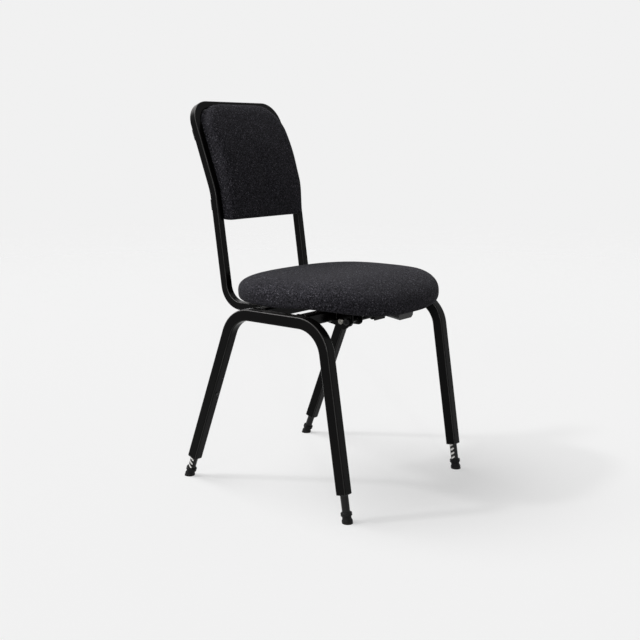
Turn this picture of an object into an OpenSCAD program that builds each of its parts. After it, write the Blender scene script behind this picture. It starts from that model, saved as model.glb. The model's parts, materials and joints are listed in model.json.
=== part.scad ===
// Choir chair: two bent square-tube side frames with four telescopic legs, a bent back
// frame, a tilting upholstered seat with a locking lever, and an upholstered back pad.
// Millimetres, +Z up. The chair faces -Y. The origin is on the floor, under the middle
// of the bounding box.

/* [Side frames] */
// Side of the square leg tube
tube_w = 25; // [22:0.5:30]
// Outer corner radius of the leg tube
tube_r = 4; // [3:0.5:5]
// Wall of the leg tube
tube_t = 2; // [1.5:0.25:2.5]
// Distance between the two side frames, centre to centre
track_w = 430; // [400:5:480]
// Height of the centre of the top bar above the floor
bar_z = 404; // [385:1:430]
// Length of the top bar between its two virtual corners
bar_len = 244; // [225:1:270]
// Lean of the rear legs from upright, in degrees
rear_lean = 21; // [17:0.5:23]
// Lean of the front legs from upright, in degrees
front_lean = 8.9; // [7:0.1:12]
// Centre-line radius of the bends at the ends of the top bar
side_bend_r = 68; // [55:1:75]
// Distance of the front virtual corner ahead of the middle between the feet
front_corner_y = 168; // [155:1:185]

/* [Telescopic legs] */
// Room between the sliding rod and the tube's inner face, for the lock's prongs
prong_t = 1.6; // [1.5:0.1:3]
// Running clearance of the rod in its bush, on the radius
rod_fit = 0.05; // [0.03:0.01:0.1]
// Height along the front leg at which the tube ends
front_tube_s = 62; // [55:1:80]
// Height along the rear leg at which the tube ends
rear_tube_s = 55; // [50:1:80]
// Height along the front leg of the lock button
front_lock_s = 181; // [165:1:195]
// Height along the rear leg of the lock button
rear_lock_s = 232; // [200:1:250]
// Distance between two adjusting notches
notch_pitch = 10; // [8:0.5:12]
// Steps that a leg can move out, from the height shown
steps_out = 4; // [2:1:5]
// Radius of the round cutter that makes a notch
notch_r = 2.6; // [2:0.1:3]
// Depth of a notch in the rod
notch_depth = 2; // [1:0.1:2.5]
// Slant of a notch from square to the rod, in degrees
notch_slant = 24; // [0:1:30]
// Length of the plastic bush in the end of the leg tube
bush_len = 32; // [20:1:40]
// Thickness of the bush's lip under the tube
bush_lip = 1.5; // [1:0.25:3]
// Length of the guide plug on top of the rod
guide_len = 18; // [12:1:25]
// Diameter of the spigot that holds the guide plug
spigot_d = 10; // [8:0.5:12]
// Length of that spigot
spigot_len = 12; // [8:1:14]

/* [Feet] */
// Height of the rubber foot along the leg
foot_h = 23; // [20:0.5:30]
// Rubber round the rod at the foot's upper collar
foot_collar_t = 3.5; // [2.5:0.25:5]
// Rubber round the rod at the foot's waist
foot_waist_t = 1.2; // [1:0.1:2]
// Rubber round the rod at the foot's lower flange
foot_flange_t = 3; // [2:0.25:6]
// Thickness of rubber under the end of the rod
foot_sole = 8; // [6:0.5:10]

/* [Lock buttons] */
// Diameter of the lock button
button_d = 8; // [6:0.5:9]
// Height of the button's cap above the tube
button_out = 2.2; // [1.5:0.1:3]
// Travel of the button
button_travel = 1; // [0.6:0.1:1]
// Clearance of the button in its hole, on the radius
button_fit = 0.1; // [0.05:0.05:0.3]
// Clearance of the lock fork inside the tube
fork_fit = 0.1; // [0.05:0.01:0.15]
// Clearance of the lock fork round the rod
fork_rod_fit = 0.3; // [0.2:0.05:0.4]
// Thickness of the lock fork along the leg
fork_h = 6; // [4:0.5:10]
// Reach of the fork's prongs past the rod's centre
fork_reach = 4; // [2:0.5:5]

/* [Cross tubes] */
// Distance of the front cross tube ahead of the middle between the feet
cross_front_y = 100; // [90:1:110]
// Distance of the rear cross tube behind the middle between the feet
cross_rear_y = 22.5; // [15:0.5:35]

/* [Back frame] */
// Side of the square back tube
back_w = 19; // [18:0.5:22]
// Outer corner radius of the back tube
back_r = 3.5; // [2:0.5:5]
// Wall of the back tube
back_t = 1.5; // [1.25:0.25:2]
// Distance between the two uprights, centre to centre
back_pitch = 278; // [260:1:300]
// Distance of the back tube's centre below the centre of the top bars
back_run_drop = 1; // [0:0.5:3]
// Distance of the lower virtual corner behind the middle between the feet
back_low_y = 167.5; // [155:0.5:180]
// Centre-line radius of the lower bend
back_low_r = 48; // [40:1:60]
// Lean of the lower half of the uprights, in degrees
back_low_lean = 8.2; // [5:0.1:12]
// Distance of the kink in the uprights below the back's top bar
kink_drop = 190; // [172:1:207]
// Centre-line radius of the kink
kink_r = 150; // [120:5:220]
// Lean of the upper half of the uprights, in degrees
back_top_lean = 20.6; // [17:0.1:24]
// Height of the back's top bar above its lower runs, centre to centre
back_h = 444; // [420:1:475]
// Centre-line radius of the two top corners
back_top_r = 44; // [38:1:52]

/* [Back pad] */
// Distance of the pad's lower edge below the centre of the back's top bar
pad_drop = 253; // [237:1:267]
// Gap between the pad and the back tube
pad_gap = 0.5; // [0.3:0.1:1]
// Radius of the pad's lower corners
pad_low_r = 10; // [6:1:20]
// Rise of the padding in front of the top bar, above the part between the tubes
pad_lap = 15.7; // [10:0.1:18]
// Radius of the top corners of the padding in front of the tubes
pad_front_r = 62; // [50:1:70]
// Rise of the pad's crown ahead of the centre of the back tube
pad_crown = 43; // [36:1:48]
// Height of the fullest part of the crown above the pad's lower edge
pad_peak = 143; // [120:1:160]
// Width of the crown's rounded shoulder
pad_shoulder = 27.5; // [20:0.5:40]
// Roundness of that shoulder, where 1 is a plain chamfer
pad_round = 3; // [2:0.1:4]
// Thickness of the pad's plywood board
pad_board_t = 9; // [7:0.5:10]
// Width of the padded rim around that board
pad_rim = 9; // [7:0.5:12]
// Thickness of the fabric-covered rear panel
pad_rear_t = 2; // [1.5:0.25:2.5]
// Thickness of a fixing tab
tab_t = 3; // [2:0.5:4]
// Height of a fixing tab
tab_h = 24; // [20:1:30]
// Reach of a fixing tab inwards from the tube's centre
tab_reach = 40; // [32:1:48]
// Height of the lower fixing tabs above the pad's lower edge
tab_rise = 34; // [28:1:40]
// Distance of the upper fixing tabs below the pad's upper edge
tab_drop = 51; // [40:1:60]

/* [Seat] */
// Width of the seat
seat_w = 455; // [430:1:460]
// Depth of the seat
seat_d = 393; // [380:1:396]
// Distance of the seat's centre ahead of the middle between the feet
seat_y = 45.5; // [44:0.5:50]
// Squareness of the seat's outline, where 2 is round
seat_square = 2.6; // [2.2:0.1:4]
// Height of the crown above the underside of the seat
seat_h = 53.5; // [45:0.5:65]
// Height of the widest part above the underside of the seat
seat_belly = 16.5; // [15:0.5:24]
// Fall of the waterfall front edge
fall_h = 25; // [12:1:28]
// Distance behind the front edge at which the fall starts
fall_len = 120; // [100:5:140]
// Flatness of the seat's crown, where 2 is a round dome
crown_flat = 6; // [4:0.5:8]
// Roundness of the seat's shoulder
crown_round = 2.4; // [1.8:0.1:2.6]
// Fall of the crown at the rear edge
crown_fall_h = 6; // [0:0.5:10]
// Distance ahead of the rear edge at which that fall starts
crown_fall_len = 151; // [100:1:180]
// Depth of the padded lip below the board, behind the waterfall front
seat_lip = 3.7; // [0:0.1:6]
// Distance behind the waterfall over which the lip grows to its depth
lip_len = 80; // [50:1:120]
// Thickness of the seat's plywood board
seat_board_t = 10; // [9:0.5:12]
// Distance of the board's edge inside the seat's outline
seat_rim = 26; // [20:1:34]
// Gap between cushion foam and plywood board
soft_fit = 0.7; // [0.3:0.1:0.8]

/* [Seat carriers] */
// Width of a folded steel seat carrier
carrier_w = 36.7; // [30:0.1:40]
// Height of the carrier above its buffer
carrier_h = 12.2; // [10:0.1:16]
// Thickness of carrier steel
carrier_t = 2.5; // [2:0.5:3]
// Distance of a carrier's centre from the middle of the chair
carrier_x = 78.35; // [70:0.05:90]
// Depth of the down-turned tab at the carrier's front
carrier_tab_h = 15; // [12:0.5:18]
// Distance of that tab behind the front edge of the seat
carrier_tab_y = 31; // [25:1:40]
// Thickness of the rubber buffers on the rear cross tube
buffer_t = 2; // [1.5:0.25:3]
// Clearance between plates that move past each other
plate_fit = 0.3; // [0.2:0.05:0.5]

/* [Tilt pivot and lock] */
// Distance of the pivot ahead of the front cross tube
pivot_ahead = 12.2; // [12:0.1:13]
// Distance of the pivot below the centre of the cross tube
pivot_drop = 12.2; // [11:0.1:14]
// Diameter of the pivot bolt
pivot_d = 8; // [6:0.5:8]
// Running clearance of the pivot, on the radius
pivot_fit = 0.08; // [0.05:0.01:0.1]
// Diameter of the pivot bolt's round head
bolt_head_d = 14; // [12:0.5:15]
// Height of that head
bolt_head_h = 4.5; // [3:0.5:6]
// Thickness of the lug plates on the front cross tube
lug_t = 3; // [3:0.5:4]
// Reach of a lug plate ahead of the clamp rod
lug_nose = 12.3; // [11:0.1:14]
// Height of a lug plate
lug_h = 41; // [39:1:43]
// Distance from the pivot to the clamp rod
clamp_ahead = 17.4; // [17:0.1:18]
// Diameter of the clamp rod
clamp_d = 8; // [6:0.5:8]
// Greatest forward tilt of the seat, in degrees
tilt_max = 8; // [5:1:10]
// Radius of the carrier's ears round pivot and clamp rod
ear_r = 11; // [9:0.5:11.5]
// Width across flats of nuts
nut_w = 13; // [12:0.5:14]
// Thickness of nuts
nut_h = 6; // [4:0.5:7]

/* [Tilt lever] */
// Width of the lever's steel stem
stem_w = 22; // [16:1:26]
// Thickness of the lever's steel stem
stem_t = 4; // [3:0.5:5]
// Outer diameter of the stem's hub
hub_d = 16; // [14:0.5:18]
// Distance of the front of the grip behind the front edge of the seat
grip_y = 19; // [12:1:24]
// Width of the grip at its top
grip_w = 54; // [48:1:60]
// Depth of the grip from front to back
grip_len = 34; // [28:1:40]
// Height of the grip at its front
grip_h = 14; // [12:0.5:16]
// Chamfer of the grip's lower corners
grip_chamfer = 5; // [2:0.5:6]
// Distance of the grip's lower front edge above the clamp rod
grip_rise = 1.5; // [0:0.5:4]
// Slope of the grip down to the front, in degrees
grip_slope = 8; // [4:0.5:12]

/* [Screws] */
// Shank diameter of the wood screws
screw_d = 5; // [4:0.5:6]
// Head diameter of the wood screws
screw_head_d = 10; // [8:0.5:11]
// Head height of the wood screws
screw_head_h = 3; // [2.5:0.25:3.5]
// Clearance of a screw in its hole, on the radius
screw_fit = 0.1; // [0.05:0.05:0.2]
// Reach of a screw into its board
screw_bite = 6.5; // [5:0.5:7]

/* [Hidden] */

$fn = 64;
// Overrun of every cut
over = 1;
// Extra angle of a bend before it is trimmed square
trim_angle = 3;
// Draw-in of a tube's walls where it is bent
draw_in = 0.02;
// Half of the floor block that trims the feet
floor_block = track_w;
// Share of a prong's thickness that its spring takes up
spring_share = 0.8;

// Places of the side frames, measured from the middle between the feet
rear_corner_y = bar_len - front_corner_y;
foot_rear_y = rear_corner_y + bar_z*tan(rear_lean);
foot_front_y = front_corner_y + bar_z*tan(front_lean);
tube_in = tube_w - 2*tube_t;
tube_in_r = tube_r - tube_t;
rod_r = tube_in/2 - fork_fit - prong_t - fork_rod_fit;
foot_collar_r = rod_r + foot_collar_t;
foot_waist_r = rod_r + foot_waist_t;
foot_flange_r = rod_r + foot_flange_t;
cross_len = track_w - tube_w;
cross_top_z = bar_z + tube_w/2;

// Places of the back frame
back_x = back_pitch/2;
back_run_z = bar_z - back_run_drop;
back_top_z = back_run_z + back_h;
kink_z = back_top_z - kink_drop;
back_kink_y = back_low_y + (kink_z - back_run_z)*tan(back_low_lean);
back_top_y = back_kink_y + (back_top_z - kink_z)*tan(back_top_lean);
back_rear_y = back_top_y + back_w/2*(cos(back_top_lean) + sin(back_top_lean));

// Shift that brings the origin under the middle of the bounding box
body_y = (foot_front_y + foot_flange_r - back_rear_y)/2;

// Places of the seat
seat_base_z = cross_top_z + buffer_t + plate_fit + carrier_h;
seat_front_y = -seat_y - seat_d/2;
fall_y = seat_front_y + fall_len;
board_share = 1 - seat_rim/(seat_w/2);
hollow_share = 1 - (seat_rim - soft_fit)/(seat_w/2);
hollow_h = seat_board_t + soft_fit;
outline_n = 56;
seat_rear_y = seat_front_y + seat_d;
fall_steps = 12;
fall_table = [for (i = [0:fall_steps])
    [seat_front_y + fall_len*i/fall_steps, fall_h*pow(1 - i/fall_steps, 2)]];

// Places of the pivot and the clamp rod
pivot_y = -cross_front_y - tube_w/2 - pivot_ahead;
pivot_z = bar_z - pivot_drop;
clamp_y = pivot_y - clamp_ahead;
clamp_z = pivot_z;
carrier_out_x = carrier_x + carrier_w/2;
carrier_in_x = carrier_x - carrier_w/2;
lug_out_x = carrier_out_x + plate_fit + lug_t;
lug_rear_y = -cross_front_y + tube_w/2;
lug_len = lug_rear_y - clamp_y + lug_nose;
// Share of a lug plate's height that lies below the pivot
pivot_low_share = 0.46;
lug_low_z = pivot_z - lug_h*pivot_low_share;
clamp_len = 2*(lug_out_x + plate_fit + nut_h + over);
// Side view of a lug plate, from its rear end to its nose and from its lowest point up
lug_shape_shares = [[0, 0.6], [0, 0.3], [0.3, 0.22], [0.7, 0], [1, 0.38], [0.95, 0.62],
    [0.95, 1], [0.2, 1]];
// Outline of the foot: share of its height, then 0 for collar, 1 for waist or 2 for flange
foot_shape_shares = [[0.26, 2], [0.42, 1], [0.62, 1], [0.7, 0], [0.95, 0]];
// Seat cushion from its underside to its belly: share of the rim drawn in, share of the
// belly, share of the lip
seat_side_shares = [[0.45, 0, 1], [0.3, 0, 1], [0.15, 0.1, 0.95], [0.06, 0.3, 0.7],
    [0.02, 0.6, 0.3], [0, 1, 0]];
// Rings of the seat's crown and of its hollow, as shares of the outline and of the hollow
crown_ring_shares = [0.985, 0.96, 0.92, 0.86, 0.77, 0.64, 0.46, 0.24];
hollow_ring_shares = [0.15, 0.3, 0.45, 0.6, 0.75, 0.88, 1];
// Rings of the back cushion's hollow, as shares of half its width
pad_hollow_shares = [0.72, 0.56, 0.42, 0.28, 0.14, 0];
// Back cushion between the tubes: share of the rim drawn in, share of the depth to their face
pad_rear_shares = [[0.3, 0], [0.08, 0.3], [0, 0.65], [0, 0.99]];
// Rings of its shoulder, as shares of the shoulder, and of its middle, as shares of half its
// width
pad_shoulder_shares = [0, 0.02, 0.07, 0.16, 0.3, 0.5, 0.75, 1];
pad_middle_shares = [0.4, 0.55, 0.7, 0.8];
// Share of the rise in front of the tubes that is the padding's upright edge
pad_edge_share = 0.28;
// Share of the shoulder's width that is drawn in at the lower edge
pad_low_draw_share = 0.35;
// Shares of the crown's rise that are lost at the pad's top and at its lower edge
pad_top_loss_share = 0.5;
pad_low_loss_share = 0.31;
pad_low_curve = 1.25;

// Heights of the fixings of the back pad and the seat
seat_screw_ys = [cross_rear_y, -cross_front_y + tube_w + screw_head_d];

function fall(y) = lookup(y, fall_table);
function crown_fall(y) = crown_fall_h*pow(max(0, 1 - (seat_rear_y - y)/crown_fall_len), 2);
function smooth_step(t) = t*t*(3 - 2*t);
function lip(y) = seat_lip*smooth_step(min(1, max(0, (y - fall_y)/lip_len)));
function signed_pow(v, p) = sign(v)*pow(abs(v), p);
function seat_point(a, share) = [
    share*seat_w/2*signed_pow(cos(a), 2/seat_square),
    -seat_y + share*seat_d/2*signed_pow(sin(a), 2/seat_square)];
function seat_outline(share) = [for (i = [0:outline_n - 1]) seat_point(360*i/outline_n, share)];
function seat_ring(share, rise, lip_share = 0) = [for (p = seat_outline(share))
    [p[0], p[1], seat_base_z + rise - fall(p[1]) - lip(p[1])*lip_share
        - crown_fall(p[1])*max(0, (rise - hollow_h)/(seat_h - hollow_h))]];
function dome(share) = seat_belly
    + (seat_h - seat_belly)*pow(1 - pow(share, crown_flat), 1/crown_round);

// The line of the uprights in side view, with the kink rounded by a short parabola
kink_half = kink_r*tan((back_top_lean - back_low_lean)/2);
function back_line_y(z) = let (u = z - kink_z)
    u < -kink_half ? back_kink_y + u*tan(back_low_lean)
    : u > kink_half ? back_kink_y + u*tan(back_top_lean)
    : back_kink_y + u*tan(back_low_lean)
        + (tan(back_top_lean) - tan(back_low_lean))*pow(u + kink_half, 2)/(4*kink_half);
function back_lean(z) = z < kink_z ? back_low_lean : back_top_lean;
function lean_blend(z) = back_low_lean + (back_top_lean - back_low_lean)
    * min(1, max(0, (z - kink_z + kink_half)/(2*kink_half)));

// The pad between the uprights
pad_w = back_pitch - back_w - 2*pad_gap;
pad_low_z = back_top_z - pad_drop;
pad_top_z = back_top_z - (back_w/2 + pad_gap)/cos(back_top_lean);
tab_low_z = pad_low_z + tab_rise;
tab_top_z = pad_top_z - tab_drop;
pad_top_r = (back_top_r - back_w/2)*cos(back_top_lean);
pad_rear = back_w/2 - plate_fit;
pad_face = back_w/2 + pad_gap;
pad_front_z = pad_top_z + pad_lap;
pad_peak_z = pad_low_z + pad_peak;
corner_steps = 5;
side_steps = 12;
end_steps = 3;
function along(p, q, n) = [for (i = [1:n - 1]) p + (q - p)*i/n];
function corner(c, r, a) = [for (i = [0:corner_steps])
    c + r*[cos(a + 90*i/corner_steps), sin(a + 90*i/corner_steps)]];
function pad_outline(inset, front = false) = let (
        x = pad_w/2 - inset, z0 = pad_low_z + inset*(front ? pad_low_draw_share : 1),
        z1 = (front ? pad_front_z : pad_top_z) - inset, r = front ? pad_front_r : pad_top_r,
        rt = max(r - inset, r/4), rb = max(pad_low_r - inset, pad_low_r/4),
        a = [x, z0 + rb], b = [x, z1 - rt], c = [x - rt, z1], d = [rt - x, z1],
        e = [-x, z1 - rt], f = [-x, z0 + rb], g = [rb - x, z0], h = [x - rb, z0])
    concat(along(a, b, side_steps), corner([x - rt, z1 - rt], rt, 0), along(c, d, end_steps),
        corner([rt - x, z1 - rt], rt, 90), along(e, f, side_steps),
        corner([rb - x, z0 + rb], rb, 180), along(g, h, end_steps),
        corner([x - rb, z0 + rb], rb, 270));
function pad_ring(inset, ahead) = [for (p = pad_outline(inset))
    [p[0], back_line_y(p[1]) - ahead/cos(lean_blend(p[1])), p[1]]];
function crown_at(z) = pad_crown*(z > pad_peak_z
    ? 1 - pad_top_loss_share*pow((z - pad_peak_z)/(pad_front_z - pad_peak_z), 2)
    : 1 - pad_low_loss_share*pow((pad_peak_z - z)/pad_peak, pad_low_curve));
function pad_front_ring(inset, rise_share) = [for (p = pad_outline(inset, true))
    [p[0], back_line_y(p[1]) - (pad_face + rise_share*(crown_at(p[1]) - pad_face))
        /cos(lean_blend(p[1])), p[1]]];
function shoulder_rise(share) = pad_edge_share
    + (1 - pad_edge_share)*pow(1 - pow(1 - share, pad_round), 1/pad_round);

function centre(ring) = let (n = len(ring)) [for (k = [0:2])
    [for (i = 0, s = ring[0][k]; i < n; i = i + 1, s = s + (i < n ? ring[i][k] : 0)) s][n - 1]/n];

// Closed skin over a stack of rings, with a middle point at each end
module skin(rings) {
    n = len(rings[0]);
    m = len(rings);
    pts = concat([for (r = rings) each r], [centre(rings[0])], [centre(rings[m - 1])]);
    polyhedron(pts, concat(
        [for (j = [0:m - 2], i = [0:n - 1]) [j*n + i, (j + 1)*n + i, j*n + (i + 1)%n]],
        [for (j = [0:m - 2], i = [0:n - 1])
            [(j + 1)*n + i, (j + 1)*n + (i + 1)%n, j*n + (i + 1)%n]],
        [for (i = [0:n - 1]) [n*m, i, (i + 1)%n]],
        [for (i = [0:n - 1]) [n*m + 1, (m - 1)*n + (i + 1)%n, (m - 1)*n + i]]),
        convexity = 6);
}

module placed() translate([0, body_y, 0]) children();

// Rounded square, and the ring between two of them
module rounded_square(w, r) {
    square([w - 2*r, w], center = true);
    square([w, w - 2*r], center = true);
    for (x = [-1, 1], y = [-1, 1]) translate([x*(w/2 - r), y*(w/2 - r)]) circle(r = r);
}
module tube_section(w, r, t) difference() {
    rounded_square(w, r);
    rounded_square(w - 2*t, r - t);
}

// Parts of a bent tube of section s = [width, corner radius, wall]. Each part is drawn in
// the frame where the last one ended. The tube runs up +Z, and a bend turns it to -Y.
module tube_run(length, s) {
    linear_extrude(length) tube_section(s[0], s[1], s[2]);
    translate([0, 0, length]) children();
}
module tube_turned(radius, angle) translate([0, -radius, 0]) rotate([angle, 0, 0])
    translate([0, radius, 0]) children();
module tube_bend(radius, angle, s) {
    difference() {
        translate([0, -radius, 0]) rotate([90, 0, 90]) rotate_extrude(angle = angle + trim_angle)
            translate([radius, 0])
            tube_section(s[0] - 2*draw_in, s[1] - draw_in, s[2] - 2*draw_in);
        tube_turned(radius, angle) translate([-s[0], -s[0], 0]) cube(2*s[0]);
    }
    tube_turned(radius, angle) children();
}

// Frame of a leg: +Z runs up the leg from the floor, -Y looks into the side frame
module leg_place(side, front) translate([side*track_w/2, front ? -foot_front_y : foot_rear_y, 0])
    mirror([0, front ? 1 : 0, 0]) rotate([front ? front_lean : rear_lean, 0, 0]) children();
function tube_s(front) = front ? front_tube_s : rear_tube_s;
function lock_s(front) = front ? front_lock_s : rear_lock_s;
function leg_lean(front) = front ? front_lean : rear_lean;
function bend_cut(front) = side_bend_r*tan((90 - leg_lean(front))/2);
function rod_top_s(front) = lock_s(front) + fork_h + steps_out*notch_pitch + rod_r;

function leg_run(front) = bar_z/cos(leg_lean(front)) - bend_cut(front) - tube_s(front);
side_section = [tube_w, tube_r, tube_t];

// One bent tube: up the front leg, back along the top and down the rear leg
module side_frame(side) color("#242426") placed() difference() {
    leg_place(side, true) translate([0, 0, front_tube_s]) tube_run(leg_run(true), side_section)
        tube_bend(side_bend_r, 90 - front_lean, side_section)
        tube_run(bar_len - bend_cut(true) - bend_cut(false), side_section)
        tube_bend(side_bend_r, 90 - rear_lean, side_section)
        tube_run(leg_run(false), side_section);
    for (front = [true, false]) leg_place(side, front)
        translate([0, -tube_w/2 - over, lock_s(front)]) rotate([-90, 0, 0])
        cylinder(r = button_d/2 + button_fit, h = tube_t + 2*over);
}

// Tube across the chair at y, between the inner faces of the two side frames
module cross_tube(y) translate([-cross_len/2, y, bar_z]) rotate([90, 0, 90])
    linear_extrude(cross_len) tube_section(tube_w, tube_r, tube_t);
module front_cross_tube() color("#242426") placed() cross_tube(-cross_front_y);
module rear_cross_tube() color("#242426") placed() cross_tube(cross_rear_y);

module leg_bush(side, front) color("#1a1a1b") placed() leg_place(side, front)
    translate([0, 0, tube_s(front)]) difference() {
        union() {
            linear_extrude(bush_len) rounded_square(tube_in - 2*fork_fit, tube_in_r);
            translate([0, 0, -bush_lip]) linear_extrude(bush_lip)
                rounded_square(tube_w - 2*fork_fit, tube_r);
        }
        translate([0, 0, -bush_lip - over])
            cylinder(r = rod_r + rod_fit, h = bush_len + bush_lip + 2*over);
    }

// Rod with its row of slanted notches, which face out on rear legs and in on front legs
module leg_rod(side, front) color("#2b2b2d") placed() leg_place(side, front) difference() {
    way = side*(front ? -1 : 1);
    top = rod_top_s(front);
    first = foot_h + notch_pitch/2;
    union() {
        translate([0, 0, foot_sole]) cylinder(r = rod_r, h = top - foot_sole);
        translate([0, 0, top]) cylinder(d = spigot_d, h = spigot_len);
    }
    for (s = [first:notch_pitch:top - notch_pitch])
        translate([way*(rod_r + notch_r - notch_depth), 0, s]) rotate([90 + notch_slant, 0, 0])
            cylinder(r = notch_r, h = 4*rod_r, center = true);
}

module rod_guide(side, front) color("#1a1a1b") placed() leg_place(side, front)
    translate([0, 0, rod_top_s(front)]) difference() {
        linear_extrude(guide_len) rounded_square(tube_in - 2*plate_fit, tube_in_r);
        translate([0, 0, -over]) cylinder(d = spigot_d, h = spigot_len + over);
    }

module foot(side, front) {
    radii = [foot_collar_r, foot_waist_r, foot_flange_r];
    color("#161617") placed() difference() {
        leg_place(side, front) difference() {
            rotate_extrude() polygon(concat(
                [[0, -foot_flange_r], [foot_flange_r, -foot_flange_r]],
                [for (p = foot_shape_shares) [radii[p[1]], p[0]*foot_h]],
                [[rod_r + foot_collar_t*2/3, foot_h], [0, foot_h]]));
            translate([0, 0, foot_sole]) cylinder(r = rod_r, h = foot_h);
        }
        translate([-floor_block, -floor_block, -2*foot_flange_r])
            cube([2*floor_block, 2*floor_block, 2*foot_flange_r]);
    }
}

// Button: a round cap that passes through the tube's wall onto the lock fork
module lock_button(side, front) color("#111112") placed() leg_place(side, front)
    translate([0, -tube_in/2 + fork_fit, lock_s(front)]) rotate([90, 0, 0]) {
        cylinder(d = button_d, h = tube_t - fork_fit + button_out - button_d/8);
        translate([0, 0, tube_t - fork_fit + button_out - button_d/8])
            cylinder(d1 = button_d, d2 = button_d*3/4, h = button_d/8);
    }

module lock_fork(side, front) color("#8d8f92") placed() leg_place(side, front)
    translate([0, 0, lock_s(front) - fork_h/2]) linear_extrude(fork_h) difference() {
        rounded_square(tube_in - 2*fork_fit, tube_in_r);
        circle(r = rod_r + fork_rod_fit);
        translate([0, -button_travel]) circle(r = rod_r + fork_rod_fit);
        translate([-rod_r - fork_rod_fit, -button_travel])
            square([2*(rod_r + fork_rod_fit), button_travel]);
        translate([-tube_w/2, fork_reach]) square([tube_w, tube_w]);
    }

// Two return springs against the far wall of the tube, drawn as pressed as they can be,
// so their near ends stand back from the fork's prongs by the button's travel
module lock_springs(side, front) {
    x = rod_r + fork_rod_fit + prong_t/2;
    spring_r = prong_t*spring_share/2;
    wall_y = tube_in/2 - tube_in_r
        + sqrt(pow(tube_in_r, 2) - pow(max(0, x + spring_r - tube_in/2 + tube_in_r), 2));
    near_y = fork_reach + button_travel + fork_fit;
    color("#b8babd") placed() leg_place(side, front) for (k = [-1, 1])
        translate([k*x, near_y, lock_s(front)]) rotate([-90, 0, 0])
        cylinder(r = spring_r, h = wall_y - fork_fit/2 - near_y);
}

back_section = [back_w, back_r, back_t];
back_low_cut = back_low_r*tan((90 - back_low_lean)/2);
back_kink_cut = kink_r*tan((back_top_lean - back_low_lean)/2);
back_run_len = back_low_y - back_low_cut - cross_rear_y - tube_w/2;
back_low_len = (kink_z - back_run_z)/cos(back_low_lean) - back_low_cut - back_kink_cut;
back_top_len = (back_top_z - kink_z)/cos(back_top_lean) - back_kink_cut - back_top_r;
module back_kink() rotate([0, 0, 180])
    tube_bend(kink_r, back_top_lean - back_low_lean, back_section) rotate([0, 0, 180]) children();

// One bent tube: back from the rear cross tube, up, across the top, down and forward again
module back_frame() color("#242426") placed()
    translate([-back_x, cross_rear_y + tube_w/2, back_run_z]) rotate([-90, 0, 0])
    tube_run(back_run_len, back_section)
    tube_bend(back_low_r, 90 - back_low_lean, back_section)
    tube_run(back_low_len, back_section) back_kink() tube_run(back_top_len, back_section)
    rotate([0, 0, 90]) tube_bend(back_top_r, 90, back_section)
    tube_run(back_pitch - 2*back_top_r, back_section)
    tube_bend(back_top_r, 90, back_section) rotate([0, 0, -90])
    tube_run(back_top_len, back_section) back_kink() tube_run(back_low_len, back_section)
    tube_bend(back_low_r, 90 - back_low_lean, back_section) tube_run(back_run_len, back_section);

// Lug plate under the front cross tube, with the pivot hole and a short slot for the rod
module pivot_lug(side) {
    slot_drop = clamp_ahead*sin(tilt_max);
    color("#2a2a2c") placed() difference() {
        translate([side > 0 ? lug_out_x - lug_t : -lug_out_x, 0, 0]) rotate([90, 0, 90])
            linear_extrude(lug_t) difference() {
                polygon([for (p = lug_shape_shares)
                    [lug_rear_y - p[0]*lug_len, lug_low_z + p[1]*lug_h]]);
                translate([pivot_y, pivot_z]) circle(d = pivot_d);
                for (k = [0, 1]) translate([clamp_y, clamp_z - k*slot_drop])
                    circle(r = clamp_d/2 + plate_fit);
                translate([clamp_y - clamp_d/2 - plate_fit, clamp_z - slot_drop])
                    square([clamp_d + 2*plate_fit, slot_drop]);
            }
        translate([-cross_len/2, -cross_front_y, bar_z]) rotate([90, 0, 90])
            linear_extrude(cross_len) rounded_square(tube_w, tube_r);
        translate([-cross_len/2, -cross_front_y - tube_w/2, bar_z])
            cube([cross_len, tube_w + over, tube_w]);
    }
}

module seat_buffers() color("#161617") placed() for (x = [-1, 1])
    translate([x*carrier_x - carrier_w/2, cross_rear_y - tube_w/2 + tube_r, cross_top_z])
        cube([carrier_w, tube_w - 2*tube_r, buffer_t]);

// Side view of a layer that follows the underside of the seat
function under_profile(y0, y1, rise0, rise1) = let (
        ys = concat(y0, [for (f = fall_table) if (f[0] > y0 && f[0] < y1) f[0]], y1))
    concat([for (y = ys) [y, seat_base_z + rise0 - fall(y)]],
        [for (i = [len(ys) - 1:-1:0]) [ys[i], seat_base_z + rise1 - fall(ys[i])]]);

module across(x0, x1) translate([x0, 0, 0]) rotate([90, 0, 90]) linear_extrude(x1 - x0) children();

module seat_board() color("#8a6a45") placed() difference() {
    intersection() {
        translate([0, 0, seat_base_z - fall_h - over]) linear_extrude(fall_h + seat_board_t + 2*over)
            polygon(seat_outline(board_share));
        across(-seat_w/2, seat_w/2) polygon(under_profile(seat_front_y, seat_rear_y,
            0, seat_board_t));
    }
    for (x = [-1, 1], y = seat_screw_ys) translate([x*carrier_x, y, seat_base_z - over])
        cylinder(r = screw_d/2 + screw_fit, h = screw_bite + over);
}

// Crowned cushion that wraps the edge of the board, with drawn-in sides
module seat_cushion() color("#3a3a40") placed() skin(concat(
    [for (k = hollow_ring_shares) seat_ring(k*hollow_share, hollow_h)],
    [seat_ring(hollow_share, 0)],
    [for (k = seat_side_shares)
        seat_ring(1 - k[0]*seat_rim/(seat_w/2), k[1]*seat_belly, k[2])],
    [for (k = crown_ring_shares) seat_ring(k, dome(k))]));

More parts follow.
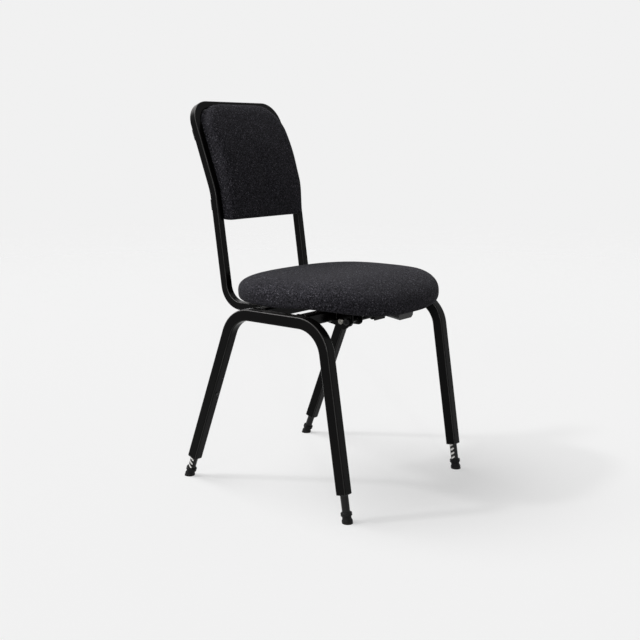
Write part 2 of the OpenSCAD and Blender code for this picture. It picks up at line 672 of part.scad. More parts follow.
// Folded carrier: a web under the board, two flanges with ears, and a front tab
module seat_carrier(side) {
    rear_y = cross_rear_y + tube_w/2;
    tab_y = seat_front_y + carrier_tab_y;
    ear_y = clamp_y - ear_r;
    color("#2a2a2c") placed() difference() {
        union() {
            across(side*carrier_x - carrier_w/2, side*carrier_x + carrier_w/2)
                polygon(under_profile(tab_y, rear_y, -carrier_t, 0));
            for (x = [side*carrier_x - carrier_w/2, side*carrier_x + carrier_w/2 - carrier_t])
                across(x, x + carrier_t) {
                    polygon(under_profile(ear_y, rear_y, -carrier_h, 0));
                    intersection() {
                        union() {
                            translate([pivot_y, pivot_z]) circle(r = ear_r);
                            translate([clamp_y, clamp_z]) circle(r = ear_r);
                            translate([clamp_y, pivot_z - ear_r]) square([clamp_ahead, ear_r]);
                            translate([clamp_y - ear_r, pivot_z])
                                square([clamp_ahead + 2*ear_r, seat_base_z - pivot_z]);
                        }
                        polygon(concat([[pivot_y + ear_r, pivot_z - 2*ear_r],
                            [clamp_y - ear_r, pivot_z - 2*ear_r]],
                            [for (y = [clamp_y - ear_r, clamp_y, pivot_y, pivot_y + ear_r])
                                [y, seat_base_z - fall(y)]]));
                    }
                }
            translate([side*carrier_x - carrier_w/2, tab_y,
                    seat_base_z - fall(tab_y) - carrier_tab_h])
                cube([carrier_w, carrier_t, carrier_tab_h]);
        }
        across(side*carrier_x - carrier_w, side*carrier_x + carrier_w) {
            translate([pivot_y, pivot_z]) circle(r = pivot_d/2 + pivot_fit);
            translate([clamp_y, clamp_z]) circle(r = clamp_d/2 + pivot_fit);
        }
        for (y = seat_screw_ys) translate([side*carrier_x, y, seat_base_z - carrier_h])
            cylinder(r = screw_d/2 + screw_fit, h = carrier_h + over);
    }
}

module wood_screw(bite) {
    cylinder(d = screw_d, h = bite);
    translate([0, 0, -screw_head_h]) difference() {
        cylinder(d = screw_head_d, h = screw_head_h);
        translate([0, 0, -over]) cylinder(d = screw_d*0.6, h = over + screw_head_h/2, $fn = 6);
    }
}
module seat_screws() color("#9a9ca0") placed() for (x = [-1, 1], y = seat_screw_ys)
    translate([x*carrier_x, y, seat_base_z - carrier_t]) wood_screw(screw_bite - over + carrier_t);

// Bolt with a low round head, from outside a lug to the nut inside the carrier
module pivot_bolts() color("#c9cbce") placed() for (side = [-1, 1])
    translate([side*lug_out_x, pivot_y, pivot_z]) rotate([0, side*90, 0]) {
        translate([0, 0, -(lug_out_x - carrier_in_x) - plate_fit - nut_h])
            cylinder(d = pivot_d, h = lug_out_x - carrier_in_x + plate_fit + nut_h);
        cylinder(d = bolt_head_d, h = bolt_head_h/2);
        translate([0, 0, bolt_head_h/2])
            cylinder(d1 = bolt_head_d, d2 = bolt_head_d*0.6, h = bolt_head_h/2);
    }
module hex_nut(bore) difference() {
    cylinder(d = nut_w/cos(30), h = nut_h, $fn = 6);
    translate([0, 0, -over]) cylinder(d = bore, h = nut_h + 2*over);
}
module pivot_nuts() color("#b4b6b9") placed() for (side = [-1, 1])
    translate([side*(carrier_in_x - plate_fit), pivot_y, pivot_z]) rotate([0, -side*90, 0])
        hex_nut(pivot_d);

module clamp_rod() color("#3c3c3f") placed() translate([-clamp_len/2, clamp_y, clamp_z])
    rotate([0, 90, 0]) cylinder(d = clamp_d, h = clamp_len);
module clamp_nuts() color("#19191a") placed() for (side = [-1, 1])
    translate([side*(lug_out_x + plate_fit), clamp_y, clamp_z]) rotate([0, side*90, 0])
        hex_nut(clamp_d);

// Frame of the grip: origin at the middle of its lower front edge, +Y runs back
module grip_place() translate([0, seat_front_y + grip_y, clamp_z + grip_rise])
    rotate([grip_slope, 0, 0]) children();
function grip_point(back, up) = [
    seat_front_y + grip_y + back*cos(grip_slope) - up*sin(grip_slope),
    clamp_z + grip_rise + back*sin(grip_slope) + up*cos(grip_slope)];
stem_low = grip_h/2 - stem_t/2;
stem_high = grip_h/2 + stem_t/2;

// Flat steel stem from the hub on the clamp rod into the slot of the grip
module lever_stem() color("#2a2a2c") placed() difference() {
    union() {
        translate([-stem_w/2, clamp_y, clamp_z]) rotate([0, 90, 0])
            cylinder(d = hub_d, h = stem_w);
        across(-stem_w/2, stem_w/2) polygon([[clamp_y, clamp_z + hub_d/2],
            [clamp_y, clamp_z + hub_d/2 - stem_t], grip_point(grip_len, stem_low),
            grip_point(grip_len/2, stem_low), grip_point(grip_len/2, stem_high),
            grip_point(grip_len, stem_high)]);
    }
    translate([-stem_w/2 - over, clamp_y, clamp_z]) rotate([0, 90, 0])
        cylinder(d = clamp_d, h = stem_w + 2*over);
}

// Moulded grip with chamfered lower corners and a slot for the stem
module lever_grip() color("#1a1a1b") placed() grip_place() difference() {
    rotate([90, 0, 0]) mirror([0, 0, 1]) linear_extrude(grip_len) polygon([
        [-grip_w/2 + grip_chamfer, 0], [grip_w/2 - grip_chamfer, 0], [grip_w/2, grip_chamfer],
        [grip_w/2, grip_h], [-grip_w/2, grip_h], [-grip_w/2, grip_chamfer]]);
    translate([-stem_w/2, grip_len/2, stem_low]) cube([stem_w, grip_len, stem_t]);
}

// Frame on the back of the uprights at height z: +Y leaves the rear face of the tube
module back_place(x, z) translate([x, back_line_y(z), z]) rotate([-back_lean(z), 0, 0])
    translate([0, back_w/2, 0]) children();
module back_tabs() color("#2a2a2c") placed() for (side = [-1, 1], z = [tab_low_z, tab_top_z])
    back_place(side*back_x, z) difference() {
        translate([side > 0 ? -tab_reach : -back_w/2 + back_r, 0, -tab_h/2])
            cube([tab_reach + back_w/2 - back_r, tab_t, tab_h]);
        translate([side*(tab_h/2 - tab_reach), -over, 0]) rotate([-90, 0, 0])
            cylinder(r = screw_d/2 + screw_fit, h = tab_t + 2*over);
    }
module back_screw_places() for (side = [-1, 1], z = [tab_low_z, tab_top_z])
    back_place(side*(back_x - tab_reach + tab_h/2), z) translate([0, tab_t, 0])
    rotate([90, 0, 0]) children();
module back_screws() color("#9a9ca0") placed() back_screw_places()
    wood_screw(tab_t + plate_fit + pad_rear_t + screw_bite - over);

// Layer of the pad between two distances ahead of the line of the uprights
module pad_layer(inset, ahead0, ahead1) {
    n = 24;
    z0 = pad_low_z;
    z1 = pad_top_z;
    intersection() {
        translate([0, back_rear_y, 0]) rotate([90, 0, 0]) linear_extrude(back_rear_y)
            polygon(pad_outline(inset));
        across(-pad_w/2, pad_w/2) polygon(concat(
            [for (i = [0:n]) let (z = z0 + (z1 - z0)*i/n)
                [back_line_y(z) - ahead0/cos(lean_blend(z)), z]],
            [for (i = [n:-1:0]) let (z = z0 + (z1 - z0)*i/n)
                [back_line_y(z) - ahead1/cos(lean_blend(z)), z]]));
    }
}
pad_board_back = -pad_rear + pad_rear_t;
module back_board() color("#8a6a45") placed() difference() {
    pad_layer(pad_rim, pad_board_back, pad_board_back + pad_board_t);
    back_screw_places()
        cylinder(r = screw_d/2 + screw_fit, h = tab_t + plate_fit + pad_rear_t + screw_bite);
}
module back_rear_panel() color("#2e2e33") placed() difference() {
    pad_layer(pad_rim/3, -pad_rear, pad_board_back);
    back_screw_places() cylinder(r = screw_d/2 + screw_fit, h = pad_board_t);
}

// Crowned back cushion that wraps the edge of its board and rises in front of the top bar
module back_cushion() color("#3a3a40") placed() let (
        front = pad_board_back + pad_board_t + soft_fit, rear = pad_board_back + soft_fit,
        inner = pad_rim - soft_fit)
    skin(concat(
        [for (k = pad_hollow_shares) pad_ring(inner + k*(pad_w/2 - inner), front)],
        [pad_ring(inner, rear)],
        [for (k = pad_rear_shares) pad_ring(k[0]*pad_rim, rear + k[1]*(pad_face - rear))],
        [pad_front_ring(0, 0)],
        [for (k = pad_shoulder_shares) pad_front_ring(k*pad_shoulder, shoulder_rise(k))],
        [for (k = pad_middle_shares) pad_front_ring(k*pad_w/2, 1)]));

side_frame(-1);  // side_frame_left
side_frame(1);  // side_frame_right
front_cross_tube();
rear_cross_tube();
back_frame();
pivot_lug(-1);  // pivot_lug_left
pivot_lug(1);  // pivot_lug_right
seat_buffers();
leg_bush(-1, true);  // leg_bush_front_left
leg_bush(1, true);  // leg_bush_front_right
leg_bush(-1, false);  // leg_bush_rear_left
leg_bush(1, false);  // leg_bush_rear_right
leg_rod(-1, true);  // leg_rod_front_left
leg_rod(1, true);  // leg_rod_front_right
leg_rod(-1, false);  // leg_rod_rear_left
leg_rod(1, false);  // leg_rod_rear_right
rod_guide(-1, true);  // rod_guide_front_left
rod_guide(1, true);  // rod_guide_front_right
rod_guide(-1, false);  // rod_guide_rear_left
rod_guide(1, false);  // rod_guide_rear_right
foot(-1, true);  // foot_front_left
foot(1, true);  // foot_front_right
foot(-1, false);  // foot_rear_left
foot(1, false);  // foot_rear_right
lock_button(-1, true);  // lock_button_front_left
lock_button(1, true);  // lock_button_front_right
lock_button(-1, false);  // lock_button_rear_left
lock_button(1, false);  // lock_button_rear_right
lock_fork(-1, true);  // lock_fork_front_left
lock_fork(1, true);  // lock_fork_front_right
lock_fork(-1, false);  // lock_fork_rear_left
lock_fork(1, false);  // lock_fork_rear_right
lock_springs(-1, true);  // lock_springs_front_left
lock_springs(1, true);  // lock_springs_front_right
lock_springs(-1, false);  // lock_springs_rear_left
lock_springs(1, false);  // lock_springs_rear_right
back_tabs();
back_board();
back_cushion();
back_rear_panel();
back_screws();
seat_board();
seat_cushion();
seat_carrier(-1);  // seat_carrier_left
seat_carrier(1);  // seat_carrier_right
seat_screws();
pivot_bolts();
pivot_nuts();
clamp_rod();
clamp_nuts();
lever_stem();
lever_grip();
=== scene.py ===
"""Looks of a choir chair: padded seat and back, coated tubes, worn rods and soft studio light."""

import json
import logging
import math
from dataclasses import dataclass, field
from enum import Enum

import bmesh
import bpy
import numpy as np
from mathutils import Matrix, Vector


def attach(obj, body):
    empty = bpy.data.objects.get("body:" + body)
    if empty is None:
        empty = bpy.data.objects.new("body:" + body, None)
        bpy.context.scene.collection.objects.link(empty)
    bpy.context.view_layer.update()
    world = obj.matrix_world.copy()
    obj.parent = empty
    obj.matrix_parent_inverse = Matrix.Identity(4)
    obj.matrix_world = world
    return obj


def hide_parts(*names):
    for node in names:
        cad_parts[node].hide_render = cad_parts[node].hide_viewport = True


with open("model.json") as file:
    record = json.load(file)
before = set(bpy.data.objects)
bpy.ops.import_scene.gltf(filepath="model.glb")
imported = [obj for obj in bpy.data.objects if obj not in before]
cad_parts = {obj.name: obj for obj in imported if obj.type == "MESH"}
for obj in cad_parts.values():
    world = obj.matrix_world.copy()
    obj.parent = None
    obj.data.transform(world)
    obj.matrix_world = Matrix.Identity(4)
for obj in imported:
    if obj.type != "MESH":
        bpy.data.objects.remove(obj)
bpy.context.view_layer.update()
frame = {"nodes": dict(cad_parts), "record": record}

LOG = logging.getLogger("choir_chair")
Socket = bpy.types.NodeSocket
Triple = tuple[float, float, float]
MM = 0.001
# Shift of the chair in Y that puts the origin under the middle of the bounding box
BODY_Y = -22.494 * MM
BAR_Z = 404 * MM
LEG_NAMES = ("front_left", "front_right", "rear_left", "rear_right")
# Lean of the back frame's uprights below and above their kink, in degrees
LOW_LEAN = 8.2
TOP_LEAN = 20.6
# A direction that no weld bead runs along
ASKEW = (0.31, 0.2, 0.93)
# A bead's width as shares of its size: the low between two ripples, the ripples' height, the
# unevenness and the start of an open end, which grows to full width over some rows of points
BEAD_LOW, BEAD_RIPPLE, BEAD_UNEVEN, BEAD_END, BEAD_END_ROWS = 0.9, 0.12, 0.04, 0.45, 5
# Sockets of Blender's colour Mix node: the two colours and the result
MIX_A, MIX_B, MIX_RESULT = 6, 7, 2


class Body(Enum):
    """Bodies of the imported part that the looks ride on."""

    FRAME = "frame"
    SEAT = "seat"


class Slot(Enum):
    """Material slots of the record."""

    BLACK_STEEL = "black_steel"
    ROD_STEEL = "rod_steel"
    BRIGHT_STEEL = "bright_steel"
    RUBBER = "black_rubber"
    PLASTIC = "black_plastic"
    PLYWOOD = "plywood"
    FABRIC = "charcoal_fabric"


def lean_sin(degrees: float) -> float:
    """Sine of an angle in degrees."""
    return math.sin(math.radians(degrees))


def lean_cos(degrees: float) -> float:
    """Cosine of an angle in degrees."""
    return math.cos(math.radians(degrees))


def lean_tan(degrees: float) -> float:
    """Tangent of an angle in degrees."""
    return math.tan(math.radians(degrees))


# Finishes


class Graph:
    """A small writer for one material's node tree."""

    def __init__(self, name: str) -> None:
        """Starts an empty material with a Principled shader and an output.

        Args:
            name: name of the new material.
        """
        self.material = bpy.data.materials.new(name)
        self.material.use_nodes = True
        self.tree = self.material.node_tree
        self.tree.nodes.clear()
        self.shader = self.add("ShaderNodeBsdfPrincipled")
        self.output = self.add("ShaderNodeOutputMaterial")
        self.link(self.shader.outputs["BSDF"], self.output.inputs["Surface"])
        place = self.add("ShaderNodeTexCoord")
        self.coords = place.outputs["Object"]
        self.normals = place.outputs["Normal"]

    def add(self, kind: str, **values: object) -> bpy.types.Node:
        """Adds a node and sets its attributes.

        Args:
            kind: Blender's name of the node type.
            **values: attributes to set on the node.

        Returns:
            The new node.
        """
        node = self.tree.nodes.new(kind)
        for key, value in values.items():
            setattr(node, key, value)
        return node

    def link(self, source: Socket, target: Socket) -> None:
        """Links an output socket to an input socket."""
        self.tree.links.new(source, target)

    def put(self, target: Socket, value: object) -> None:
        """Sets a socket to a constant, or links it when the value is a socket.

        Args:
            target: input socket.
            value: constant or output socket.
        """
        if isinstance(value, Socket):
            self.link(value, target)
        else:
            target.default_value = value

    def noise(self, scale: float, detail: float = 2.0, rough: float = 0.5,
              coords: Socket | None = None) -> Socket:
        """Noise over object space.

        Args:
            scale: noise cells per metre.
            detail: number of octaves.
            rough: strength of the finer octaves.
            coords: coordinates to use in place of object space.

        Returns:
            The noise factor socket.
        """
        node = self.add("ShaderNodeTexNoise")
        self.link(coords or self.coords, node.inputs["Vector"])
        node.inputs["Scale"].default_value = scale
        node.inputs["Detail"].default_value = detail
        node.inputs["Roughness"].default_value = rough
        return node.outputs["Fac"]

    def cells(self, scale: float, output: str = "Color") -> Socket:
        """Voronoi cells over object space.

        Args:
            scale: cells per metre.
            output: "Color" for a random colour per cell, "Distance" for a distance.

        Returns:
            The chosen output.
        """
        node = self.add("ShaderNodeTexVoronoi")
        self.link(self.coords, node.inputs["Vector"])
        node.inputs["Scale"].default_value = scale
        return node.outputs[output]

    def math(self, operation: str, a: object, b: object = 0.0) -> Socket:
        """Adds a Math node.

        Args:
            operation: Blender's name of the operation.
            a: first value, constant or socket.
            b: second value, constant or socket.

        Returns:
            The node's value.
        """
        node = self.add("ShaderNodeMath", operation=operation)
        self.put(node.inputs[0], a)
        self.put(node.inputs[1], b)
        return node.outputs[0]

    def times(self, a: object, b: object) -> Socket:
        """Product of two values."""
        return self.math("MULTIPLY", a, b)

    def plus(self, a: object, b: object) -> Socket:
        """Sum of two values."""
        return self.math("ADD", a, b)

    def minus(self, a: object, b: object) -> Socket:
        """Difference of two values."""
        return self.math("SUBTRACT", a, b)

    def spread(self, value: Socket, low: float, high: float,
               to_low: float = 0.0, to_high: float = 1.0) -> Socket:
        """Maps a range of values smoothly and clamps it.

        Args:
            value: the value to map.
            low: value that gives to_low.
            high: value that gives to_high.
            to_low: first result.
            to_high: second result.

        Returns:
            The mapped value.
        """
        node = self.add("ShaderNodeMapRange", interpolation_type="SMOOTHSTEP")
        self.link(value, node.inputs["Value"])
        for key, number in (("From Min", low), ("From Max", high), ("To Min", to_low),
                            ("To Max", to_high)):
            node.inputs[key].default_value = number
        return node.outputs[0]

    def blend(self, factor: object, a: object, b: object) -> Socket:
        """Mixes two colours.

        Args:
            factor: 0 for the first colour, 1 for the second.
            a: colour triple or socket.
            b: colour triple or socket.

        Returns:
            The mixed colour.
        """
        node = self.add("ShaderNodeMix", data_type="RGBA")
        self.put(node.inputs["Factor"], factor)
        for key, colour in ((MIX_A, a), (MIX_B, b)):
            self.put(node.inputs[key], colour if isinstance(colour, Socket)
                     else (*colour, 1.0))
        return node.outputs[MIX_RESULT]

    def parts(self, vector: Socket) -> tuple[Socket, ...]:
        """Splits a vector.

        Args:
            vector: the vector.

        Returns:
            Its three parts.
        """
        node = self.add("ShaderNodeSeparateXYZ")
        self.link(vector, node.inputs[0])
        return tuple(node.outputs)

    def vector(self, *values: object) -> Socket:
        """Joins values into a vector.

        Args:
            *values: three constants or sockets.

        Returns:
            The vector.
        """
        node = self.add("ShaderNodeCombineXYZ")
        for socket, value in zip(node.inputs, values):
            self.put(socket, value)
        return node.outputs[0]

    def stretched(self, parts: tuple[Socket, ...], scales: Triple) -> Socket:
        """Joins three coordinates into a vector, each times its own factor."""
        return self.vector(*(self.times(part, scale) for part, scale in zip(parts, scales)))

    def mapped(self, place: Vector, turn: Triple) -> Socket:
        """Object space seen from another frame.

        Args:
            place: origin of that frame.
            turn: angles in radians that bring its axes back to the part's.

        Returns:
            The coordinates in that frame.
        """
        moved = self.add("ShaderNodeVectorMath", operation="SUBTRACT")
        self.link(self.coords, moved.inputs[0])
        moved.inputs[1].default_value = place
        node = self.add("ShaderNodeMapping")
        self.link(moved.outputs[0], node.inputs["Vector"])
        node.inputs["Rotation"].default_value = turn
        return node.outputs[0]

    def bump(self, height: Socket, strength: float, distance: float,
             after: Socket | None = None) -> Socket:
        """Bump from a height.

        Args:
            height: the height field, from 0 to 1.
            strength: share of the bump that is used.
            distance: height of the relief in metres.
            after: normal of an earlier bump to add to.

        Returns:
            The bumped normal.
        """
        node = self.add("ShaderNodeBump")
        self.link(height, node.inputs["Height"])
        node.inputs["Strength"].default_value = strength
        node.inputs["Distance"].default_value = distance
        if after:
            self.link(after, node.inputs["Normal"])
        return node.outputs[0]

    def finish(self, colour: object, rough: object, normal: object = None,
               metal: object = 0.0, **sockets: object) -> bpy.types.Material:
        """Fills the shader and returns the material.

        Args:
            colour: base colour triple or socket.
            rough: roughness, constant or socket.
            normal: bumped normal, if any.
            metal: metalness, constant or socket.
            **sockets: further shader sockets, with underscores for spaces.

        Returns:
            The finished material.
        """
        self.put(self.shader.inputs["Base Color"], colour if isinstance(
            colour, Socket) else (*colour, 1.0))
        self.put(self.shader.inputs["Roughness"], rough)
        self.put(self.shader.inputs["Metallic"], metal)
        if normal is not None:
            self.link(normal, self.shader.inputs["Normal"])
        for key, value in sockets.items():
            self.put(self.shader.inputs[key.replace("_", " ")], value)
        return self.material


@dataclass(frozen=True)
class PowderCoat:
    """Near-black satin powder coat with orange peel, rubbed patches and a painted highlight along
    the tube corners.
    """

    name: str = "satin_powder_coat"
    colour: Triple = (0.0018, 0.0016, 0.0016)
    rubbed: Triple = (0.0065, 0.0060, 0.0060)
    # Colour of the painted highlight along the tube corners, which stands in for the lamps'
    # reflections
    corner: Triple = (0.2, 0.194, 0.191)
    peel_scale: float = 1500.0
    peel_height: float = 0.12 * MM
    wave_height: float = 0.6 * MM
    specular: float = 0.065

    def corners(self, g: Graph, cloud: Socket) -> Socket:
        """Share of the painted highlight along the tube corners, strongest where a corner faces
        up towards the lamps.

        Args:
            g: graph of the material.
            cloud: wide patches that weaken the painted highlight.

        Returns:
            The share, from 0 to 1.
        """
        # Painted highlight: normals between the side faces mark the rounded corners, and corners
        # facing up get more, as the lamps above would light them
        across, _, rise = g.parts(g.normals)
        side = g.math("ABSOLUTE", across)
        edge = g.times(g.spread(side, 0.4, 0.66), g.spread(side, 0.76, 0.95, 1, 0))
        edge = g.times(edge, g.spread(rise, 0.08, 0.5, 0.4, 1.0))
        return g.times(edge, g.spread(cloud, 0, 1, 0.85, 0.5))

    def material(self) -> bpy.types.Material:
        """Builds the material.

        Returns:
            The finished material.
        """
        g = Graph(self.name)
        cloud = g.spread(g.noise(14, 4), 0.35, 0.7)
        dust = g.spread(g.noise(420, 3, 0.6), 0.6, 0.75)
        base = g.blend(g.times(cloud, 0.35), self.colour, self.rubbed)
        base = g.blend(g.times(dust, 0.3), base, self.rubbed)
        # Painted highlight: the pale corner tone stands in for reflections of the lamps
        base = g.blend(self.corners(g, cloud), base, self.corner)
        rough = g.plus(g.spread(cloud, 0, 1, 0.17, 0.22), g.times(dust, 0.08))
        peel = g.bump(g.noise(self.peel_scale, 2, 0.4), 0.12, self.peel_height)
        waves = g.bump(g.noise(90, 2), 0.06, self.wave_height, peel)
        return g.finish(base, rough, waves, Specular_IOR_Level=self.specular)


@dataclass(frozen=True)
class NotchedRod:
    """Dark oiled steel rod whose cut notches and sliding streaks show bright metal."""

    leg: str
    foot: Vector
    lean: float
    front: bool
    radius: float = 8.5 * MM
    notch_from: float = 0.12 * MM
    notch_full: float = 0.45 * MM
    streak_scale: Triple = (900, 900, 22)
    turning_scale: Triple = (300, 300, 2600)
    turning_height: float = 0.1 * MM
    dark: Triple = (0.007, 0.0068, 0.007)
    oiled: Triple = (0.015, 0.0145, 0.0145)
    streaked: Triple = (0.09, 0.087, 0.084)
    bright: Triple = (0.62, 0.61, 0.59)
    oiled_rough: float = 0.34
    bright_rough: float = 0.26
    specular: float = 0.2

    def material(self) -> bpy.types.Material:
        """Builds the material, with the bright metal where the surface lies inside the rod.

        Returns:
            The finished material.
        """
        g = Graph(f"rod_steel_{self.leg}")
        turn = self.lean if self.front else -self.lean
        x, y, z = g.parts(g.mapped(self.foot, (math.radians(turn), 0, 0)))
        away = g.math("SQRT", g.plus(g.times(x, x), g.times(y, y)))
        cut = g.spread(away, self.radius - self.notch_full, self.radius - self.notch_from, 1, 0)
        streak = g.noise(1, 3, 0.6, g.stretched((x, y, z), self.streak_scale))
        worn = g.times(g.spread(streak, 0.6, 0.78), 0.35)
        base = g.blend(g.spread(g.noise(260, 3), 0.4, 0.7), self.dark, self.oiled)
        base = g.blend(worn, base, self.streaked)
        base = g.blend(cut, base, self.bright)
        rough = g.blend(cut, (self.oiled_rough,) * 3, (self.bright_rough,) * 3)
        turned = g.noise(1, 2, 0.5, g.stretched((x, y, z), self.turning_scale))
        metal = g.math("MAXIMUM", cut, g.times(worn, 0.8))
        return g.finish(base, rough, g.bump(turned, 0.25, self.turning_height), metal,
                        Specular_IOR_Level=self.specular)


@dataclass(frozen=True)
class ZincPlate:
    """Dull zinc plate with a fine grain and darker blotches."""

    name: str = "zinc_plate"
    colour: Triple = (0.27, 0.262, 0.24)
    blotched: Triple = (0.12, 0.114, 0.1)
    grain_height: float = 0.06 * MM

    def material(self) -> bpy.types.Material:
        """Builds the material.

        Returns:
            The finished material.
        """
        g = Graph(self.name)
        base = g.blend(g.spread(g.noise(320, 4), 0.35, 0.7), self.colour, self.blotched)
        rough = g.spread(g.noise(900, 3), 0.3, 0.7, 0.22, 0.42)
        return g.finish(base, rough, g.bump(g.noise(2600, 2), 0.3, self.grain_height), 1.0)


@dataclass(frozen=True)
class MouldedRubber:
    """Black rubber with a fine matte grain and pale floor dust low down."""

    name: str = "moulded_rubber"
    colour: Triple = (0.0055, 0.0055, 0.0058)
    worn: Triple = (0.011, 0.011, 0.011)
    dust: Triple = (0.1, 0.096, 0.088)
    dust_height: float = 8 * MM
    grain_height: float = 0.15 * MM
    specular: float = 0.13

    def material(self) -> bpy.types.Material:
        """Builds the material, dusty near the floor.

        Returns:
            The finished material.
        """
        g = Graph(self.name)
        low = g.spread(g.parts(g.coords)[2], 0.0, self.dust_height, 1, 0)
        dusty = g.times(low, g.spread(g.noise(500, 4, 0.6), 0.35, 0.7))
        base = g.blend(g.spread(g.noise(60, 3), 0.35, 0.7), self.colour, self.worn)
        base = g.blend(g.times(dusty, 0.25), base, self.dust)
        rough = g.spread(g.noise(700, 2), 0.3, 0.7, 0.42, 0.58)
        return g.finish(base, rough, g.bump(g.noise(1800, 3, 0.7), 0.35, self.grain_height),
                        Specular_IOR_Level=self.specular)


@dataclass(frozen=True)
class MouldedPlastic:
    """Black nylon with a spark-eroded grain and slightly polished high spots."""

    name: str = "moulded_plastic"
    colour: Triple = (0.014, 0.014, 0.015)
    polished: Triple = (0.028, 0.028, 0.029)
    grain_height: float = 0.12 * MM
    specular: float = 0.3

    def material(self) -> bpy.types.Material:
        """Builds the material.

        Returns:
            The finished material.
        """
        g = Graph(self.name)
        rubbed = g.spread(g.noise(45, 3), 0.5, 0.72)
        base = g.blend(g.times(rubbed, 0.5), self.colour, self.polished)
        rough = g.spread(rubbed, 0, 1, 0.46, 0.36)
        grain = g.bump(g.cells(1600, "Distance"), 0.3, self.grain_height)
        return g.finish(base, rough, grain, Specular_IOR_Level=self.specular)


@dataclass(frozen=True)
class BirchPly:
    """Birch plywood stained near black, with its face grain and pores still to be seen."""

    name: str = "stained_plywood"
    light: Triple = (0.034, 0.025, 0.018)
    dark: Triple = (0.013, 0.0095, 0.007)
    grain_scale: Triple = (120, 7, 60)
    pore_scale: Triple = (1400, 60, 900)
    pore_depth: float = 0.2 * MM
    specular: float = 0.25

    def material(self) -> bpy.types.Material:
        """Builds the material.

        Returns:
            The finished material.
        """
        g = Graph(self.name)
        place = g.parts(g.coords)
        grain = g.noise(1, 5, 0.62, g.stretched(place, self.grain_scale))
        pores = g.noise(1, 2, 0.6, g.stretched(place, self.pore_scale))
        base = g.blend(g.spread(grain, 0.35, 0.68), self.light, self.dark)
        base = g.blend(g.times(g.spread(pores, 0.6, 0.72), 0.5), base, self.dark)
        rough = g.spread(grain, 0.3, 0.7, 0.42, 0.55)
        return g.finish(base, rough, g.bump(pores, 0.2, self.pore_depth),
                        Specular_IOR_Level=self.specular)


@dataclass(frozen=True)
class HeatherWeave:
    """Charcoal cloth: over-and-under threads, each of its own tone, with pale flecks and painted
    shade in the gaps between threads.
    """

    name: str = "heather_weave"
    thread: float = 1.6 * MM
    fleck: float = 2.8 * MM
    drift: float = 1.6 * MM
    roundness: float = 0.6
    relief: float = 0.45 * MM
    fuzz: float = 0.2 * MM
    dark: Triple = (0.0090, 0.0087, 0.0106)
    mid: Triple = (0.0580, 0.0560, 0.0670)
    pale: Triple = (0.2, 0.193, 0.222)
    sheen: float = 0.03
    sheen_rough: float = 0.5
    specular: float = 0.06

    def along(self, g: Graph) -> tuple[Socket, Socket]:
        """Coordinates along the cloth, on the two axes that the surface faces least.

        Args:
            g: graph of the material.

        Returns:
            The two coordinates in metres.
        """
        nx, ny, nz = (g.math("ABSOLUTE", part) for part in g.parts(g.normals))
        top = g.math("GREATER_THAN", nz, g.math("MAXIMUM", nx, ny))
        flank = g.times(g.math("GREATER_THAN", nx, ny), g.minus(1.0, top))
        x, y, z = g.parts(g.coords)
        u = g.plus(x, g.times(flank, g.minus(y, x)))
        v = g.plus(z, g.times(top, g.minus(y, z)))
        return u, v

    def threads(self, g: Graph) -> tuple[Socket, Socket]:
        """Height and tone of the threads.

        Args:
            g: graph of the material.

        Returns:
            Height of the weave from 0 to 1, and a random tone for each crossing.
        """
        u, v = self.along(g)
        drift = g.times(g.minus(g.noise(38, 2), 0.5), self.drift)
        u = g.math("DIVIDE", g.plus(u, drift), self.thread)
        v = g.math("DIVIDE", g.minus(v, drift), self.thread)
        waves = (g.math("ABSOLUTE", g.math("SINE", g.times(way, math.pi))) for way in (u, v))
        warp, weft = (g.math("POWER", wave, self.roundness) for wave in waves)
        columns, rows = g.math("FLOOR", u), g.math("FLOOR", v)
        parity = g.math("MODULO", g.math("ABSOLUTE", g.plus(columns, rows)), 2.0)
        over = g.spread(parity, 0.4, 0.6)
        height = g.plus(g.times(over, warp), g.times(g.minus(1.0, over), weft))
        tone = g.add("ShaderNodeTexWhiteNoise", noise_dimensions="3D")
        g.link(g.vector(columns, rows, 0.0), tone.inputs["Vector"])
        return height, tone.outputs["Value"]

    def flecks(self, g: Graph) -> Socket:
        """Pale flecks, which lie scattered and thin out in patches.

        Args:
            g: graph of the material.

        Returns:
            Share of the flecks' tone, from 0 to 1.
        """
        scale = 1 / self.fleck
        chance = g.spread(g.parts(g.cells(scale))[0], 0.72, 0.95)
        spot = g.spread(g.cells(scale, "Distance"), 0.25, 0.55, 1, 0)
        return g.times(g.times(chance, spot), g.spread(g.noise(30, 3, 0.6), 0.3, 0.7, 0.55, 1.0))

    def material(self) -> bpy.types.Material:
        """Builds the material.

        Returns:
            The finished material.
        """
        g = Graph(self.name)
        height, tone = self.threads(g)
        slub = g.spread(g.noise(330, 3, 0.7), 0.3, 0.7)
        soft = g.spread(g.plus(g.times(tone, 0.45), g.times(slub, 0.55)), 0.28, 0.76)
        base = g.blend(self.flecks(g), g.blend(soft, self.dark, self.mid), self.pale)
        # Painted shade: the colour darkens where the threads dip low between crossings
        painted_gap_shade = g.spread(height, 0.1, 0.7, 0.55, 1.0)
        shade = g.add("ShaderNodeMix", data_type="RGBA", blend_type="MULTIPLY")
        shade.inputs["Factor"].default_value = 1.0
        g.link(base, shade.inputs[MIX_A])
        g.link(g.vector(painted_gap_shade, painted_gap_shade, painted_gap_shade), shade.inputs[MIX_B])
        fuzz = g.bump(g.noise(2600, 3, 0.7), 0.35, self.fuzz)
        relief = g.bump(height, 0.5, self.relief, fuzz)
        return g.finish(shade.outputs[MIX_RESULT], g.spread(height, 0, 1, 0.95, 0.84), relief,
                        Sheen_Weight=self.sheen, Sheen_Roughness=self.sheen_rough,
                        Specular_IOR_Level=self.specular)


# Meshes


